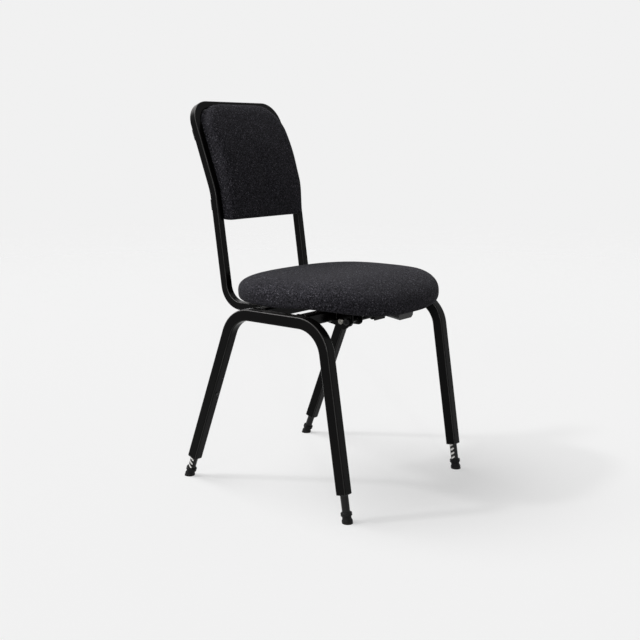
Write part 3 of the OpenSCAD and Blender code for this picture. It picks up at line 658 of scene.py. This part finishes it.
def make_object(name: str, points: list, faces: list) -> bpy.types.Object:
    """Makes a smooth-shaded mesh object.

    Args:
        name: name of the object and its mesh.
        points: corner points in metres.
        faces: tuples of point numbers.

    Returns:
        The new object, linked to the scene.
    """
    mesh = bpy.data.meshes.new(name)
    mesh.from_pydata([tuple(p) for p in points], [], faces)
    mesh.update()
    obj = bpy.data.objects.new(name, mesh)
    bpy.context.scene.collection.objects.link(obj)
    mesh.polygons.foreach_set("use_smooth", [True] * len(mesh.polygons))
    return obj


def face_outwards(obj: bpy.types.Object) -> None:
    """Turns all faces of a closed mesh outwards.

    Args:
        obj: the object with that mesh.
    """
    bm = bmesh.new()
    bm.from_mesh(obj.data)
    bmesh.ops.recalc_face_normals(bm, faces=bm.faces)
    bm.to_mesh(obj.data)
    bm.free()


def apply_modifiers(obj: bpy.types.Object) -> None:
    """Bakes an object's modifiers into its mesh.

    Args:
        obj: the object.
    """
    graph = bpy.context.evaluated_depsgraph_get()
    mesh = bpy.data.meshes.new_from_object(obj.evaluated_get(graph))
    old = obj.data
    obj.modifiers.clear()
    obj.data = mesh
    bpy.data.meshes.remove(old)
    mesh.name = obj.name


def dress(obj: bpy.types.Object, material: bpy.types.Material) -> None:
    """Gives an object one material."""
    obj.data.materials.clear()
    obj.data.materials.append(material)


def loft(name: str, rings: list) -> bpy.types.Object:
    """Closed skin over a stack of rings, with a middle point at each end.

    Args:
        name: name of the object.
        rings: rings of points, all of the same length.

    Returns:
        The new object.
    """
    count = len(rings[0])
    points = [p for ring in rings for p in ring]
    faces = []
    for j in range(len(rings) - 1):
        for i in range(count):
            k = (i + 1) % count
            faces.append((j * count + i, j * count + k, (j + 1) * count + k, (j + 1) * count + i))
    for ring, flip in ((0, True), (len(rings) - 1, False)):
        points.append(np.mean(np.array(rings[ring]), axis=0))
        hub = len(points) - 1
        for i in range(count):
            a, b = ring * count + i, ring * count + (i + 1) % count
            faces.append((hub, b, a) if flip else (hub, a, b))
    obj = make_object(name, points, faces)
    face_outwards(obj)
    return obj


def bead(name: str, path: list, radius: float, closed: bool, seed: int,
         ripple: float = 2.6 * MM, steps: int = 4, sides: int = 8) -> bpy.types.Object:
    """A weld bead: a thin rope of metal with the ripples of its puddles.

    Args:
        name: name of the object.
        path: points that the bead follows.
        radius: half of the bead's width.
        closed: True where the path is a loop.
        seed: seed of the small unevenness.
        ripple: distance between two ripples.
        steps: rows of points in each ripple.
        sides: corners of the rope's section.

    Returns:
        The new object.
    """
    rng = np.random.default_rng(seed)
    pts = [np.array(p, float) for p in path]
    if closed:
        pts.append(pts[0])
    line, length = [pts[0]], [0.0]
    step = ripple / steps
    for a, b in zip(pts[:-1], pts[1:]):
        n = max(1, round(float(np.linalg.norm(b - a)) / step))
        for i in range(1, n + 1):
            line.append(a + (b - a) * i / n)
            length.append(length[-1] + float(np.linalg.norm(b - a)) / n)
    if closed:
        line, length = line[:-1], length[:-1]
    count = len(line)
    points, faces = [], []
    for i, p in enumerate(line):
        before = line[i - 1] if closed or i else p
        after = line[(i + 1) % count] if closed or i < count - 1 else p
        ahead = after - before
        ahead /= max(np.linalg.norm(ahead), 1e-9)
        side = np.cross(ahead, ASKEW)
        side /= max(np.linalg.norm(side), 1e-9)
        up = np.cross(side, ahead)
        wave = BEAD_LOW + BEAD_RIPPLE * abs(math.sin(math.pi * length[i] / ripple))
        end = 1.0 if closed else min(1.0, BEAD_END + min(i, count - 1 - i) / BEAD_END_ROWS)
        r = radius * wave * end * (1 + BEAD_UNEVEN * float(rng.normal()))
        for k in range(sides):
            a = 2 * math.pi * k / sides
            points.append(p + r * (math.cos(a) * side + math.sin(a) * up))
    spans = count if closed else count - 1
    for i in range(spans):
        j = (i + 1) % count
        for k in range(sides):
            m = (k + 1) % sides
            faces.append((i * sides + k, i * sides + m, j * sides + m, j * sides + k))
    if not closed:
        faces.append(tuple(range(sides)))
        faces.append(tuple((count - 1) * sides + k for k in range(sides - 1, -1, -1)))
    obj = make_object(name, points, faces)
    face_outwards(obj)
    return obj


def square_loop(half: float, radius: float, steps: int = 4) -> list[tuple[float, float]]:
    """Points of a rounded square about the origin.

    Args:
        half: half of the square's side.
        radius: radius of its corners.
        steps: steps in each corner.

    Returns:
        Points in order round the square.
    """
    out = []
    for quarter, (sx, sy) in enumerate(((1, 1), (-1, 1), (-1, -1), (1, -1))):
        for i in range(steps + 1):
            a = math.pi / 2 * (quarter + i / steps)
            out.append((sx * (half - radius) + radius * math.cos(a),
                        sy * (half - radius) + radius * math.sin(a)))
    return out


# Padded pieces


@dataclass
class PaddedForm:
    """Foam in a stretched cover: a lofted skin that is swollen a little by cloth pressure."""

    name: str
    body: Body
    node: str
    voxel: float = 5.0 * MM
    swell: float = 0.5 * MM
    pressure: float = 4.0
    stiffness: float = 18.0
    frames: int = 20
    fill: float = 0.85

    def rings(self) -> list:
        """Rings of the form, which each kind of cushion gives."""
        raise NotImplementedError

    def hold(self, point: Vector) -> float:
        """Share of its movement that a point may make, 0 where the cover is fastened."""
        return 1.0

    def swollen(self, obj: bpy.types.Object) -> None:
        """Swells the form with cloth pressure and caps how far each point moves.

        Args:
            obj: the remeshed form.
        """
        start = [v.co.copy() for v in obj.data.vertices]
        cloth = obj.modifiers.new("cover", "CLOTH")
        settings = cloth.settings
        settings.quality = 5
        settings.mass = 0.35
        settings.tension_stiffness = settings.compression_stiffness = self.stiffness
        settings.bending_stiffness = 0.6
        settings.use_pressure = True
        settings.uniform_pressure_force = self.pressure
        settings.effector_weights.gravity = 0
        cloth.point_cache.frame_start = 1
        cloth.point_cache.frame_end = self.frames
        for number in range(1, self.frames + 1):
            bpy.context.scene.frame_set(number)
        apply_modifiers(obj)
        bpy.context.scene.frame_set(1)
        for vertex, home in zip(obj.data.vertices, start):
            move = vertex.co - home
            limit = self.swell * self.hold(home)
            if move.length > limit:
                move *= limit / move.length
            vertex.co = home + move

    def evened(self, obj: bpy.types.Object, form: bpy.types.Object) -> None:
        """Remeshes the piece evenly and draws it back onto its form.

        Args:
            obj: the piece.
            form: the exact form.
        """
        remesh = obj.modifiers.new("even", "REMESH")
        remesh.mode = "VOXEL"
        remesh.voxel_size = self.voxel
        relax = obj.modifiers.new("relax", "CORRECTIVE_SMOOTH")
        relax.use_only_smooth = True
        relax.iterations = 4
        relax.smooth_type = "LENGTH_WEIGHTED"
        wrap = obj.modifiers.new("draw_on", "SHRINKWRAP")
        wrap.target = form
        wrap.wrap_method = "NEAREST_SURFACEPOINT"
        apply_modifiers(obj)

    def build(self, material: bpy.types.Material) -> None:
        """Builds, swells and dresses the piece.

        Args:
            material: the cover's material.
        """
        obj = loft(self.name, self.rings())
        form = loft(f"{self.name}_form", self.rings())
        self.evened(obj, form)
        bpy.data.objects.remove(form, do_unlink=True)
        self.swollen(obj)
        finer = obj.modifiers.new("finer", "SUBSURF")
        finer.levels = finer.render_levels = 1
        apply_modifiers(obj)
        obj.data.polygons.foreach_set("use_smooth", [True] * len(obj.data.polygons))
        dress(obj, material)
        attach(obj, self.body.value)
        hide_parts(self.node)
        LOG.info("%s: %d points", self.name, len(obj.data.vertices))


# Rings on the board's face, as shares of the board's hollow
SEAT_HOLLOW = (0.1, 0.3, 0.5, 0.7, 0.85, 1)
# Rings round the seat's edge: share of the rim drawn in, of the belly's rise, of the lip
SEAT_EDGE = ((0.85, 0, 0.2), (0.7, 0, 0.6), (0.57, 0, 0.88), (0.45, 0, 1), (0.3, 0.01, 1),
             (0.22, 0.04, 0.98), (0.15, 0.1, 0.93), (0.1, 0.19, 0.83), (0.06, 0.3, 0.7),
             (0.035, 0.44, 0.5), (0.018, 0.6, 0.31), (0.006, 0.8, 0.12), (0, 1, 0))
# Rings over the seat's crown, as shares of the outline
SEAT_CROWN = (0.995, 0.985, 0.97, 0.95, 0.925, 0.9, 0.86, 0.81, 0.75, 0.68, 0.6, 0.5, 0.4, 0.3,
              0.2, 0.1)
SEAT_POINTS = 144


@dataclass
class SeatCushion(PaddedForm):
    """Oval seat cushion with a flat crown, a drawn-in lower edge and a waterfall front.

    Squareness, flat and shoulder are the exponents of the outline and of the crown's curve.
    """

    name: str = "seat_cushion_cover"
    body: Body = Body.SEAT
    node: str = "seat_cushion"
    width: float = 455 * MM
    depth: float = 393 * MM
    middle_y: float = -45.5 * MM + BODY_Y
    squareness: float = 2.6
    base_z: float = 431 * MM
    height: float = 53.0 * MM
    belly: float = 16.5 * MM
    fall_height: float = 25 * MM
    fall_length: float = 120 * MM
    crown_fall_height: float = 6 * MM
    crown_fall_length: float = 151 * MM
    lip: float = 3.7 * MM
    lip_length: float = 80 * MM
    rim: float = 26 * MM
    board: float = 10.7 * MM
    fit: float = 0.7 * MM
    flat: float = 6.0
    shoulder: float = 2.4
    fastened: float = 2 * MM
    free: float = 16 * MM

    def fall(self, y: float) -> float:
        """Fall of the waterfall front at y."""
        start = self.middle_y - self.depth / 2 + self.fall_length
        return self.fall_height * ((start - y) / self.fall_length) ** 2 if y < start else 0.0

    def crown_fall(self, y: float) -> float:
        """Fall of the crown towards the rear edge at y."""
        rear = self.middle_y + self.depth / 2
        return self.crown_fall_height * max(0.0, 1 - (rear - y) / self.crown_fall_length) ** 2

    def lip_depth(self, y: float) -> float:
        """Depth of the padded lip below the board.

        Args:
            y: place along the seat.

        Returns:
            The depth, which fades out over the waterfall front.
        """
        start = self.middle_y - self.depth / 2 + self.fall_length
        t = min(1.0, max(0.0, (y - start) / self.lip_length))
        return self.lip * t * t * (3 - 2 * t)

    def ring(self, share: float, rise: float, lip_share: float = 0.0) -> list:
        """One ring of the outline.

        Args:
            share: size of the ring as a share of the outline.
            rise: height over the seat's underside.
            lip_share: share of the lip's depth.

        Returns:
            Points of the ring.
        """
        out = []
        rear_share = max(0.0, (rise - self.board) / (self.height - self.board))
        for i in range(SEAT_POINTS):
            a = 2 * math.pi * i / SEAT_POINTS
            c, s = math.cos(a), math.sin(a)
            x = share * self.width / 2 * math.copysign(abs(c) ** (2 / self.squareness), c)
            y = self.middle_y + share * self.depth / 2 * math.copysign(
                abs(s) ** (2 / self.squareness), s)
            out.append((x, y, self.base_z + rise - self.fall(y) - self.lip_depth(y) * lip_share
                        - self.crown_fall(y) * rear_share))
        return out

    def rings(self) -> list:
        """Lays the rings of the form.

        Returns:
            Rings from the board's face down round the seat's edge and up to the crown.
        """
        half = self.width / 2
        inner = 1 - (self.rim - self.fit) / half
        out = [self.ring(k * inner, self.board) for k in SEAT_HOLLOW]
        out.append(self.ring(inner, self.board / 2))
        out.append(self.ring(inner, 0.0))
        for drawn, rise, lip in SEAT_EDGE:
            out.append(self.ring(1 - drawn * self.rim / half, rise * self.belly, lip))
        for k in SEAT_CROWN:
            out.append(self.ring(k, self.belly + (self.height - self.belly)
                                 * (1 - k ** self.flat) ** (1 / self.shoulder)))
        return out

    def hold(self, point: Vector) -> float:
        """The cover is fastened under the seat and round the board."""
        rise = point.z - self.base_z + self.fall(point.y)
        return min(1.0, max(0.0, (rise - self.fastened) / (self.free - self.fastened)))


# Heights of the top bar's centre line and of the padding ahead of it, in mm
TOP_BAR_Z, CREST_Z = 847, 862.7
# Distance from the top bar's centre line to the part of the pad between the tubes, in mm
BAR_GAP = 10
# Y at which the uprights start, their rise to the kink and its radius, in mm
UPRIGHT_Y, KINK_RISE, KINK_R = 167.5, 254, 150
# Rings on the board's face, as shares of the half width
PAD_HOLLOW = (0.72, 0.56, 0.42, 0.28, 0.14, 0)
# Rings round the pad's rear edge: share of the rim drawn in, share of the depth
PAD_EDGE = ((0.65, 0), (0.45, 0), (0.3, 0), (0.2, 0.05), (0.13, 0.15), (0.08, 0.3),
            (0.03, 0.47), (0, 0.65), (0, 0.82), (0, 0.99))
# Rings over the rounded front edge, as shares of the shoulder, and over the crown
PAD_SHOULDER = (0, 0.01, 0.03, 0.07, 0.12, 0.18, 0.25, 0.33, 0.42, 0.52, 0.63, 0.75, 0.88, 1)
PAD_MIDDLE = (0.3, 0.38, 0.46, 0.54, 0.62, 0.7, 0.8)
PAD_CORNER_STEPS, PAD_SIDE_STEPS, PAD_END_STEPS = 12, 24, 14


@dataclass
class BackCushion(PaddedForm):
    """Back pad between the uprights, curved with them, with rounded corners and a full rim.

    Rear, face and crown are distances ahead of the uprights' centre line. The shares called
    loss tell how much of the crown is gone at the top and at the lower edge.
    """

    name: str = "back_cushion_cover"
    body: Body = Body.FRAME
    node: str = "back_cushion"
    voxel: float = 4.0 * MM
    swell: float = 0.6 * MM
    half_width: float = 129 * MM
    low_z: float = 592 * MM
    top_z: float = (TOP_BAR_Z - BAR_GAP / lean_cos(TOP_LEAN)) * MM
    front_z: float = (CREST_Z - BAR_GAP / lean_cos(TOP_LEAN)) * MM
    peak_z: float = 737 * MM
    low_r: float = 10 * MM
    top_r: float = 34.5 * lean_cos(TOP_LEAN) * MM
    front_r: float = 62 * MM
    kink_z: float = 657 * MM
    kink_y: float = (UPRIGHT_Y + KINK_RISE * lean_tan(LOW_LEAN)) * MM + BODY_Y
    kink_half: float = KINK_R * lean_tan((TOP_LEAN - LOW_LEAN) / 2) * MM
    rim: float = 9 * MM
    rear: float = -7.2 * MM
    board: float = 9 * MM
    fit: float = 0.7 * MM
    face: float = 10 * MM
    crown: float = 43 * MM
    shoulder: float = 27.5 * MM
    roundness: float = 3.0
    edge_share: float = 0.28
    low_draw: float = 0.35
    top_loss: float = 0.5
    low_loss: float = 0.31
    low_curve: float = 1.25
    fastened: float = 14 * MM
    free: float = 30 * MM

    def line_y(self, z: float) -> float:
        """Centre line of the uprights.

        Args:
            z: height over the floor.

        Returns:
            Its Y at that height.
        """
        u = z - self.kink_z
        low, top = lean_tan(LOW_LEAN), lean_tan(TOP_LEAN)
        if u < -self.kink_half:
            return self.kink_y + u * low
        if u > self.kink_half:
            return self.kink_y + u * top
        return self.kink_y + u * low + (top - low) * (u + self.kink_half) ** 2 / (
            4 * self.kink_half)

    def lean(self, z: float) -> float:
        """Lean of the pad at height z, in degrees."""
        share = (z - self.kink_z + self.kink_half) / (2 * self.kink_half)
        return LOW_LEAN + (TOP_LEAN - LOW_LEAN) * min(1.0, max(0.0, share))

    def outline(self, inset: float, front: bool, lift: float = 0.0) -> list:
        """Outline of the pad seen from the front.

        Args:
            inset: distance inside the pad's edge.
            front: True for the padding in front of the tubes, False between them.
            lift: rise of the upper edge, which keeps it close under the sloping top bar.

        Returns:
            Points (x, z) in order round the pad.
        """
        x = self.half_width - inset
        z0 = self.low_z + inset * (self.low_draw if front else 1)
        z1 = (self.front_z if front else self.top_z + lift) - inset
        radius = self.front_r if front else self.top_r
        rt = max(radius - inset, radius / 4)
        rb = max(self.low_r - inset, self.low_r / 4)
        out: list[tuple[float, float]] = []

        def straight(a: tuple[float, float], b: tuple[float, float], n: int) -> None:
            """Adds the inner points of a straight run."""
            for i in range(1, n):
                out.append((a[0] + (b[0] - a[0]) * i / n, a[1] + (b[1] - a[1]) * i / n))

        def corner(cx: float, cz: float, r: float, turn: float) -> None:
            """Adds a rounded corner.

            Args:
                cx: X of its middle.
                cz: Z of its middle.
                r: its radius.
                turn: angle at which it starts, in degrees.
            """
            for i in range(PAD_CORNER_STEPS + 1):
                a = math.radians(turn + 90 * i / PAD_CORNER_STEPS)
                out.append((cx + r * math.cos(a), cz + r * math.sin(a)))

        straight((x, z0 + rb), (x, z1 - rt), PAD_SIDE_STEPS)
        corner(x - rt, z1 - rt, rt, 0)
        straight((x - rt, z1), (rt - x, z1), PAD_END_STEPS)
        corner(rt - x, z1 - rt, rt, 90)
        straight((-x, z1 - rt), (-x, z0 + rb), PAD_SIDE_STEPS)
        corner(rb - x, z0 + rb, rb, 180)
        straight((rb - x, z0), (x - rb, z0), PAD_END_STEPS)
        corner(x - rb, z0 + rb, rb, 270)
        return out

    def ring(self, inset: float, ahead: float) -> list:
        """One ring of the part between the tubes.

        Args:
            inset: distance inside the pad's edge.
            ahead: distance ahead of the uprights' centre line.

        Returns:
            Points of the ring.
        """
        lift = BAR_GAP * (1 / lean_cos(TOP_LEAN) - lean_cos(TOP_LEAN)) * MM \
            + ahead * lean_sin(TOP_LEAN)
        return [(x, self.line_y(z) - ahead / lean_cos(self.lean(z)), z)
                for x, z in self.outline(inset, False, max(0.0, lift))]

    def crown_at(self, z: float) -> float:
        """Rise of the crown ahead of the uprights' centre line.

        Args:
            z: height over the floor.

        Returns:
            The rise at that height.
        """
        up = (z - self.peak_z) / (self.front_z - self.peak_z)
        down = max(0.0, (self.peak_z - z) / (self.peak_z - self.low_z))
        loss = self.top_loss * up ** 2 if up > 0 else self.low_loss * down ** self.low_curve
        return self.crown * (1 - loss)

    def front_ring(self, inset: float, share: float) -> list:
        """One ring of the padding in front of the tubes.

        Args:
            inset: distance inside the pad's edge.
            share: share of the rise from the tubes' face to the crown.

        Returns:
            Points of the ring.
        """
        return [(x, self.line_y(z) - (self.face + share * (self.crown_at(z) - self.face))
                 / lean_cos(self.lean(z)), z) for x, z in self.outline(inset, True)]

    def rings(self) -> list:
        """Lays the rings of the form.

        Returns:
            Rings from the board's face round the pad's edge and forward to the crown.
        """
        inner = self.rim - self.fit
        front = self.rear + self.board + self.fit
        back = self.rear + self.fit
        out = [self.ring(inner + k * (self.half_width - inner), front) for k in PAD_HOLLOW]
        out.append(self.ring(inner, (front + back) / 2))
        out.append(self.ring(inner, back))
        for drawn, depth in PAD_EDGE:
            out.append(self.ring(drawn * self.rim, back + depth * (self.face - back)))
        out.append(self.front_ring(0, 0))
        out.append(self.front_ring(0, self.edge_share / 2))
        for k in PAD_SHOULDER:
            share = self.edge_share + (1 - self.edge_share) * (
                1 - (1 - k) ** self.roundness) ** (1 / self.roundness)
            out.append(self.front_ring(k * self.shoulder, share))
        for k in PAD_MIDDLE:
            out.append(self.front_ring(k * self.half_width, 1))
        return out

    def hold(self, point: Vector) -> float:
        """The cover is fastened behind the board and held in at the tubes."""
        ahead = (self.line_y(point.z) - point.y) * lean_cos(self.lean(point.z))
        return min(1.0, max(0.0, (ahead - self.fastened) / (self.free - self.fastened)))


# Steel details


# Seed of each kind of bead, to which the side is added
BEAD_SEEDS = {"front": 7, "rear": 7, "back": 11, "lug_front": 17, "lug_low": 23,
              "tab_low": 31, "tab_top": 31}


@dataclass
class WeldBeads:
    """Weld beads where tubes, lugs and tabs meet, coated with the frame."""

    tube: float = 25 * MM
    tube_r: float = 4 * MM
    back: float = 19 * MM
    back_r: float = 3.5 * MM
    back_z: float = BAR_Z - 1 * MM
    cross_x: float = 202.5 * MM
    cross_front: float = -100 * MM + BODY_Y
    cross_rear: float = 22.5 * MM + BODY_Y
    back_x: float = 139 * MM
    lug_x: float = 100.3 * MM
    lug_half: float = 8 * MM
    lug_rear_end: float = 9 * MM
    tab_out: float = 4.4 * MM
    tab_low: float = 34 * MM
    tab_top: float = 51 * MM
    tab_half: float = 9 * MM
    lift: float = 0.2 * MM
    size: float = 1.5 * MM
    pieces: list = field(default_factory=list)

    def add(self, tag: str, side: int, path: list, closed: bool) -> None:
        """Adds one bead.

        Args:
            tag: what the bead joins, for its name.
            side: -1 for the left half of the chair, 1 for the right half.
            path: points that the bead follows.
            closed: True where the path is a loop.
        """
        name = f"weld_{tag}_{'right' if side > 0 else 'left'}"
        self.pieces.append(bead(name, path, self.size, closed, BEAD_SEEDS[tag] + side))

    def cross_tube_beads(self) -> None:
        """Loops round the four ends of the cross tubes."""
        loop = square_loop(self.tube / 2 + self.lift, self.tube_r)
        for side in (-1, 1):
            for tag, y in (("front", self.cross_front), ("rear", self.cross_rear)):
                path = [(side * self.cross_x, y + a, BAR_Z + b) for a, b in loop]
                self.add(tag, side, path, True)

    def back_tube_beads(self) -> None:
        """Loops round the two ends of the back tube on the rear cross tube."""
        loop = square_loop(self.back / 2 + self.lift, self.back_r)
        for side in (-1, 1):
            path = [(side * self.back_x + a, self.cross_rear + self.tube / 2, self.back_z + b)
                    for a, b in loop]
            self.add("back", side, path, True)

    def lug_beads(self) -> None:
        """Short beads on the outer side of each lug plate, along the front cross tube."""
        front, low = self.cross_front - self.tube / 2, BAR_Z - self.tube / 2
        for side in (-1, 1):
            x = side * self.lug_x
            path = [(x, front, BAR_Z + self.lug_half), (x, front, BAR_Z - self.lug_half)]
            self.add("lug_front", side, path, False)
            path = [(x, self.cross_front - self.lug_half, low),
                    (x, self.cross_front + self.lug_rear_end, low)]
            self.add("lug_low", side, path, False)

    def tab_beads(self, pad: BackCushion) -> None:
        """Short beads along the fixing tabs on the uprights.

        Args:
            pad: the back pad, whose line the uprights follow.
        """
        for side in (-1, 1):
            for tag, z, lean in (("tab_low", pad.low_z + self.tab_low, LOW_LEAN),
                                 ("tab_top", pad.top_z - self.tab_top, TOP_LEAN)):
                up = Vector((0, lean_sin(lean), lean_cos(lean)))
                out = Vector((0, lean_cos(lean), -lean_sin(lean)))
                at = Vector((side * (self.back_x + self.tab_out), pad.line_y(z), z)) \
                    + out * (self.back / 2 + self.lift)
                self.add(tag, side, [at - up * self.tab_half, at + up * self.tab_half], False)

    def build(self, pad: BackCushion, material: bpy.types.Material) -> None:
        """Builds and dresses all the beads.

        Args:
            pad: the back pad, whose line the uprights follow.
            material: the frame's coat.
        """
        self.cross_tube_beads()
        self.back_tube_beads()
        self.lug_beads()
        self.tab_beads(pad)
        for piece in self.pieces:
            dress(piece, material)
            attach(piece, Body.FRAME.value)
        LOG.info("weld beads: %d", len(self.pieces))


@dataclass
class Hardware:
    """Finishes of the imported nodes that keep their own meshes."""

    front_lean: float = 8.9
    rear_lean: float = 21.0
    track: float = 430 * MM
    front_corner: float = 168 * MM
    bar_length: float = 244 * MM

    def foot(self, leg: str) -> Vector:
        """Point where a leg's centre line meets the floor.

        Args:
            leg: name of the leg.

        Returns:
            The point in the part's frame.
        """
        x = self.track / 2 * (-1 if leg.endswith("left") else 1)
        if leg.startswith("front"):
            y = -(self.front_corner + BAR_Z * lean_tan(self.front_lean))
        else:
            y = self.bar_length - self.front_corner + BAR_Z * lean_tan(self.rear_lean)
        return Vector((x, y + BODY_Y, 0))

    def rod_finish(self, leg: str) -> NotchedRod:
        """The finish of one leg's rod."""
        front = leg.startswith("front")
        return NotchedRod(leg, self.foot(leg), self.front_lean if front else self.rear_lean,
                          front)

    def dress_nodes(self, finishes: dict[str, bpy.types.Material]) -> None:
        """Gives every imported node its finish.

        Args:
            finishes: material for each slot name.
        """
        slots = {s["node"]: s["material_slot"] for s in frame["record"]["subparts"]}
        for node, obj in frame["nodes"].items():
            leg = node.removeprefix("leg_rod_")
            if leg in LEG_NAMES:
                dress(obj, self.rod_finish(leg).material())
            else:
                dress(obj, finishes[slots[node]])
        LOG.info("dressed nodes: %d", len(frame["nodes"]))


# Studio


def direct_sight(tree: bpy.types.NodeTree) -> Socket:
    """Finds the rays that see the studio's plain paper.

    Args:
        tree: node tree of a material or of the world.

    Returns:
        A socket that is 1 for camera, glossy and transmission rays and 0 for all others.
    """
    rays = tree.nodes.new("ShaderNodeLightPath")
    seen = rays.outputs["Is Camera Ray"]
    for kind in ("Is Glossy Ray", "Is Transmission Ray"):
        either = tree.nodes.new("ShaderNodeMath")
        either.operation = "MAXIMUM"
        tree.links.new(seen, either.inputs[0])
        tree.links.new(rays.outputs[kind], either.inputs[1])
        seen = either.outputs[0]
    return seen


@dataclass(frozen=True)
class Lamp:
    """A soft distant lamp.

    The strength is in watts per square metre. The angles are in degrees: tilt from straight
    above, azimuth from +X to where the light comes from, and softness as the lamp's width.
    """

    name: str
    strength: float
    tilt: float
    azimuth: float
    softness: float

    def build(self) -> None:
        """Adds the lamp to the scene."""
        data = bpy.data.lights.new(self.name, "SUN")
        data.energy = self.strength
        data.angle = math.radians(self.softness)
        lamp = bpy.data.objects.new(self.name, data)
        bpy.context.scene.collection.objects.link(lamp)
        lamp.rotation_euler = (0, math.radians(self.tilt), math.radians(self.azimuth))


LAMPS = (
    Lamp("overhead_softbox", 1.95, 31, 116, 45),
    Lamp("rear_lamp", 0.6, 45, 135, 5),
    Lamp("front_lamp", 0.33, 76, 226, 4),
    Lamp("side_lamp", 0.42, 80, 190, 20),
)
# Radii of the floor's rings in metres, and its corners round each ring
FLOOR_RINGS = (0.4, 0.9, 1.6, 2.6, 4.0, 6.0, 9.0)
FLOOR_CORNERS = 96


@dataclass
class Studio:
    """Pale floor, plain soft light and the camera at the photo's view.

    Paper is the background's brightness, near_paper that of the floor under the chair, and
    glow the share of it that no shadow takes away.
    """

    camera_at: Triple = (-1.7215, -1.3609 + BODY_Y, 0.780)
    backwards: Triple = (-0.7681, -0.6127, 0.1861)
    lens: float = 54.71
    sensor: float = 36
    paper: float = 0.879
    near_paper: float = 1.047
    greyed: float = 0.95
    dim_paper: float = 0.12
    glow: float = 0.583
    sky: float = 0.115
    fade: tuple[float, float] = (1.6, 7.0)

    def camera(self) -> None:
        """Makes the camera and sets it as the scene's."""
        data = bpy.data.cameras.new("photo_camera")
        data.lens = self.lens
        data.sensor_width = self.sensor
        data.clip_end = 50
        camera = bpy.data.objects.new("photo_camera", data)
        bpy.context.scene.collection.objects.link(camera)
        back = Vector(self.backwards).normalized()
        right = Vector((0, 0, 1)).cross(back).normalized()
        up = back.cross(right)
        turn = Matrix((right, up, back)).transposed().to_4x4()
        camera.matrix_world = Matrix.Translation(self.camera_at) @ turn
        bpy.context.scene.camera = camera

    def world(self) -> None:
        """Soft grey surround for light, plain pale paper for the camera and reflections."""
        world = bpy.data.worlds.new("studio_world")
        bpy.context.scene.world = world
        world.use_nodes = True
        tree = world.node_tree
        tree.nodes.clear()
        out = tree.nodes.new("ShaderNodeOutputWorld")
        light = tree.nodes.new("ShaderNodeBackground")
        shown = tree.nodes.new("ShaderNodeBackground")
        mix = tree.nodes.new("ShaderNodeMixShader")
        light.inputs["Color"].default_value = (1, 1, 1, 1)
        light.inputs["Strength"].default_value = self.sky
        shown.inputs["Color"].default_value = (self.paper, self.paper, self.paper, 1)
        tree.links.new(direct_sight(tree), mix.inputs[0])
        tree.links.new(light.outputs[0], mix.inputs[1])
        tree.links.new(shown.outputs[0], mix.inputs[2])
        tree.links.new(mix.outputs[0], out.inputs["Surface"])

    def floor_paper(self) -> bpy.types.Material:
        """Pale paper that takes shadows, fades out towards the rim and is clear from below.

        Returns:
            The finished material.
        """
        g = Graph("studio_paper")
        seen = direct_sight(g.tree)
        grain = g.spread(g.noise(220, 3), 0.3, 0.7)
        lit = self.near_paper * (1 - self.glow)
        pale = g.blend(g.times(grain, 0.08), (lit,) * 3, (lit * self.greyed,) * 3)
        colour = g.blend(seen, (self.dim_paper,) * 3, pale)
        g.finish(colour, 0.8, g.bump(g.noise(900, 2), 0.05, 0.2 * MM), Specular_IOR_Level=0.1,
                 Emission_Color=(self.paper, self.paper, self.paper, 1.0),
                 Emission_Strength=g.times(seen, self.glow))
        length = g.add("ShaderNodeVectorMath", operation="LENGTH")
        g.link(g.coords, length.inputs[0])
        fade = g.math("MAXIMUM", g.spread(length.outputs["Value"], *self.fade),
                      g.add("ShaderNodeNewGeometry").outputs["Backfacing"])
        clear = g.add("ShaderNodeBsdfTransparent")
        mix = g.add("ShaderNodeMixShader")
        g.link(fade, mix.inputs[0])
        g.link(g.shader.outputs[0], mix.inputs[1])
        g.link(clear.outputs[0], mix.inputs[2])
        g.link(mix.outputs[0], g.output.inputs["Surface"])
        return g.material

    def floor(self) -> None:
        """A wide round floor."""
        count = FLOOR_CORNERS
        points = [(0.0, 0.0, 0.0)]
        faces = []
        for r in FLOOR_RINGS:
            points += [(r * math.cos(2 * math.pi * i / count), r * math.sin(
                2 * math.pi * i / count), 0.0) for i in range(count)]
        for i in range(count):
            j = (i + 1) % count
            faces.append((0, 1 + i, 1 + j))
            for k in range(len(FLOOR_RINGS) - 1):
                a, b = 1 + k * count, 1 + (k + 1) * count
                faces.append((a + i, b + i, b + j, a + j))
        floor = make_object("studio_floor", points, faces)
        dress(floor, self.floor_paper())

    def build(self) -> None:
        """Builds the camera, world, floor and lamps."""
        self.camera()
        self.world()
        self.floor()
        for lamp in LAMPS:
            lamp.build()
        bpy.context.scene.view_settings.view_transform = "Standard"
        LOG.info("studio ready")


def main() -> None:
    """Builds every part of the scene in order and reports each one."""
    logging.basicConfig(level=logging.INFO, format="%(name)s: %(message)s")
    coat = PowderCoat().material()
    finishes = {
        Slot.BLACK_STEEL.value: coat,
        # The rod steel is a PowderCoat material, so it carries the same painted highlight on its
        # corners
        Slot.ROD_STEEL.value: PowderCoat(name="oiled_steel",
                                         colour=(0.018, 0.017, 0.017)).material(),
        Slot.BRIGHT_STEEL.value: ZincPlate().material(),
        Slot.RUBBER.value: MouldedRubber().material(),
        Slot.PLASTIC.value: MouldedPlastic().material(),
        Slot.PLYWOOD.value: BirchPly().material(),
        Slot.FABRIC.value: HeatherWeave().material(),
    }
    Hardware().dress_nodes(finishes)
    SeatCushion().build(finishes[Slot.FABRIC.value])
    pad = BackCushion()
    pad.build(finishes[Slot.FABRIC.value])
    WeldBeads().build(pad, coat)
    Studio().build()


if __name__ == "__main__":
    main()
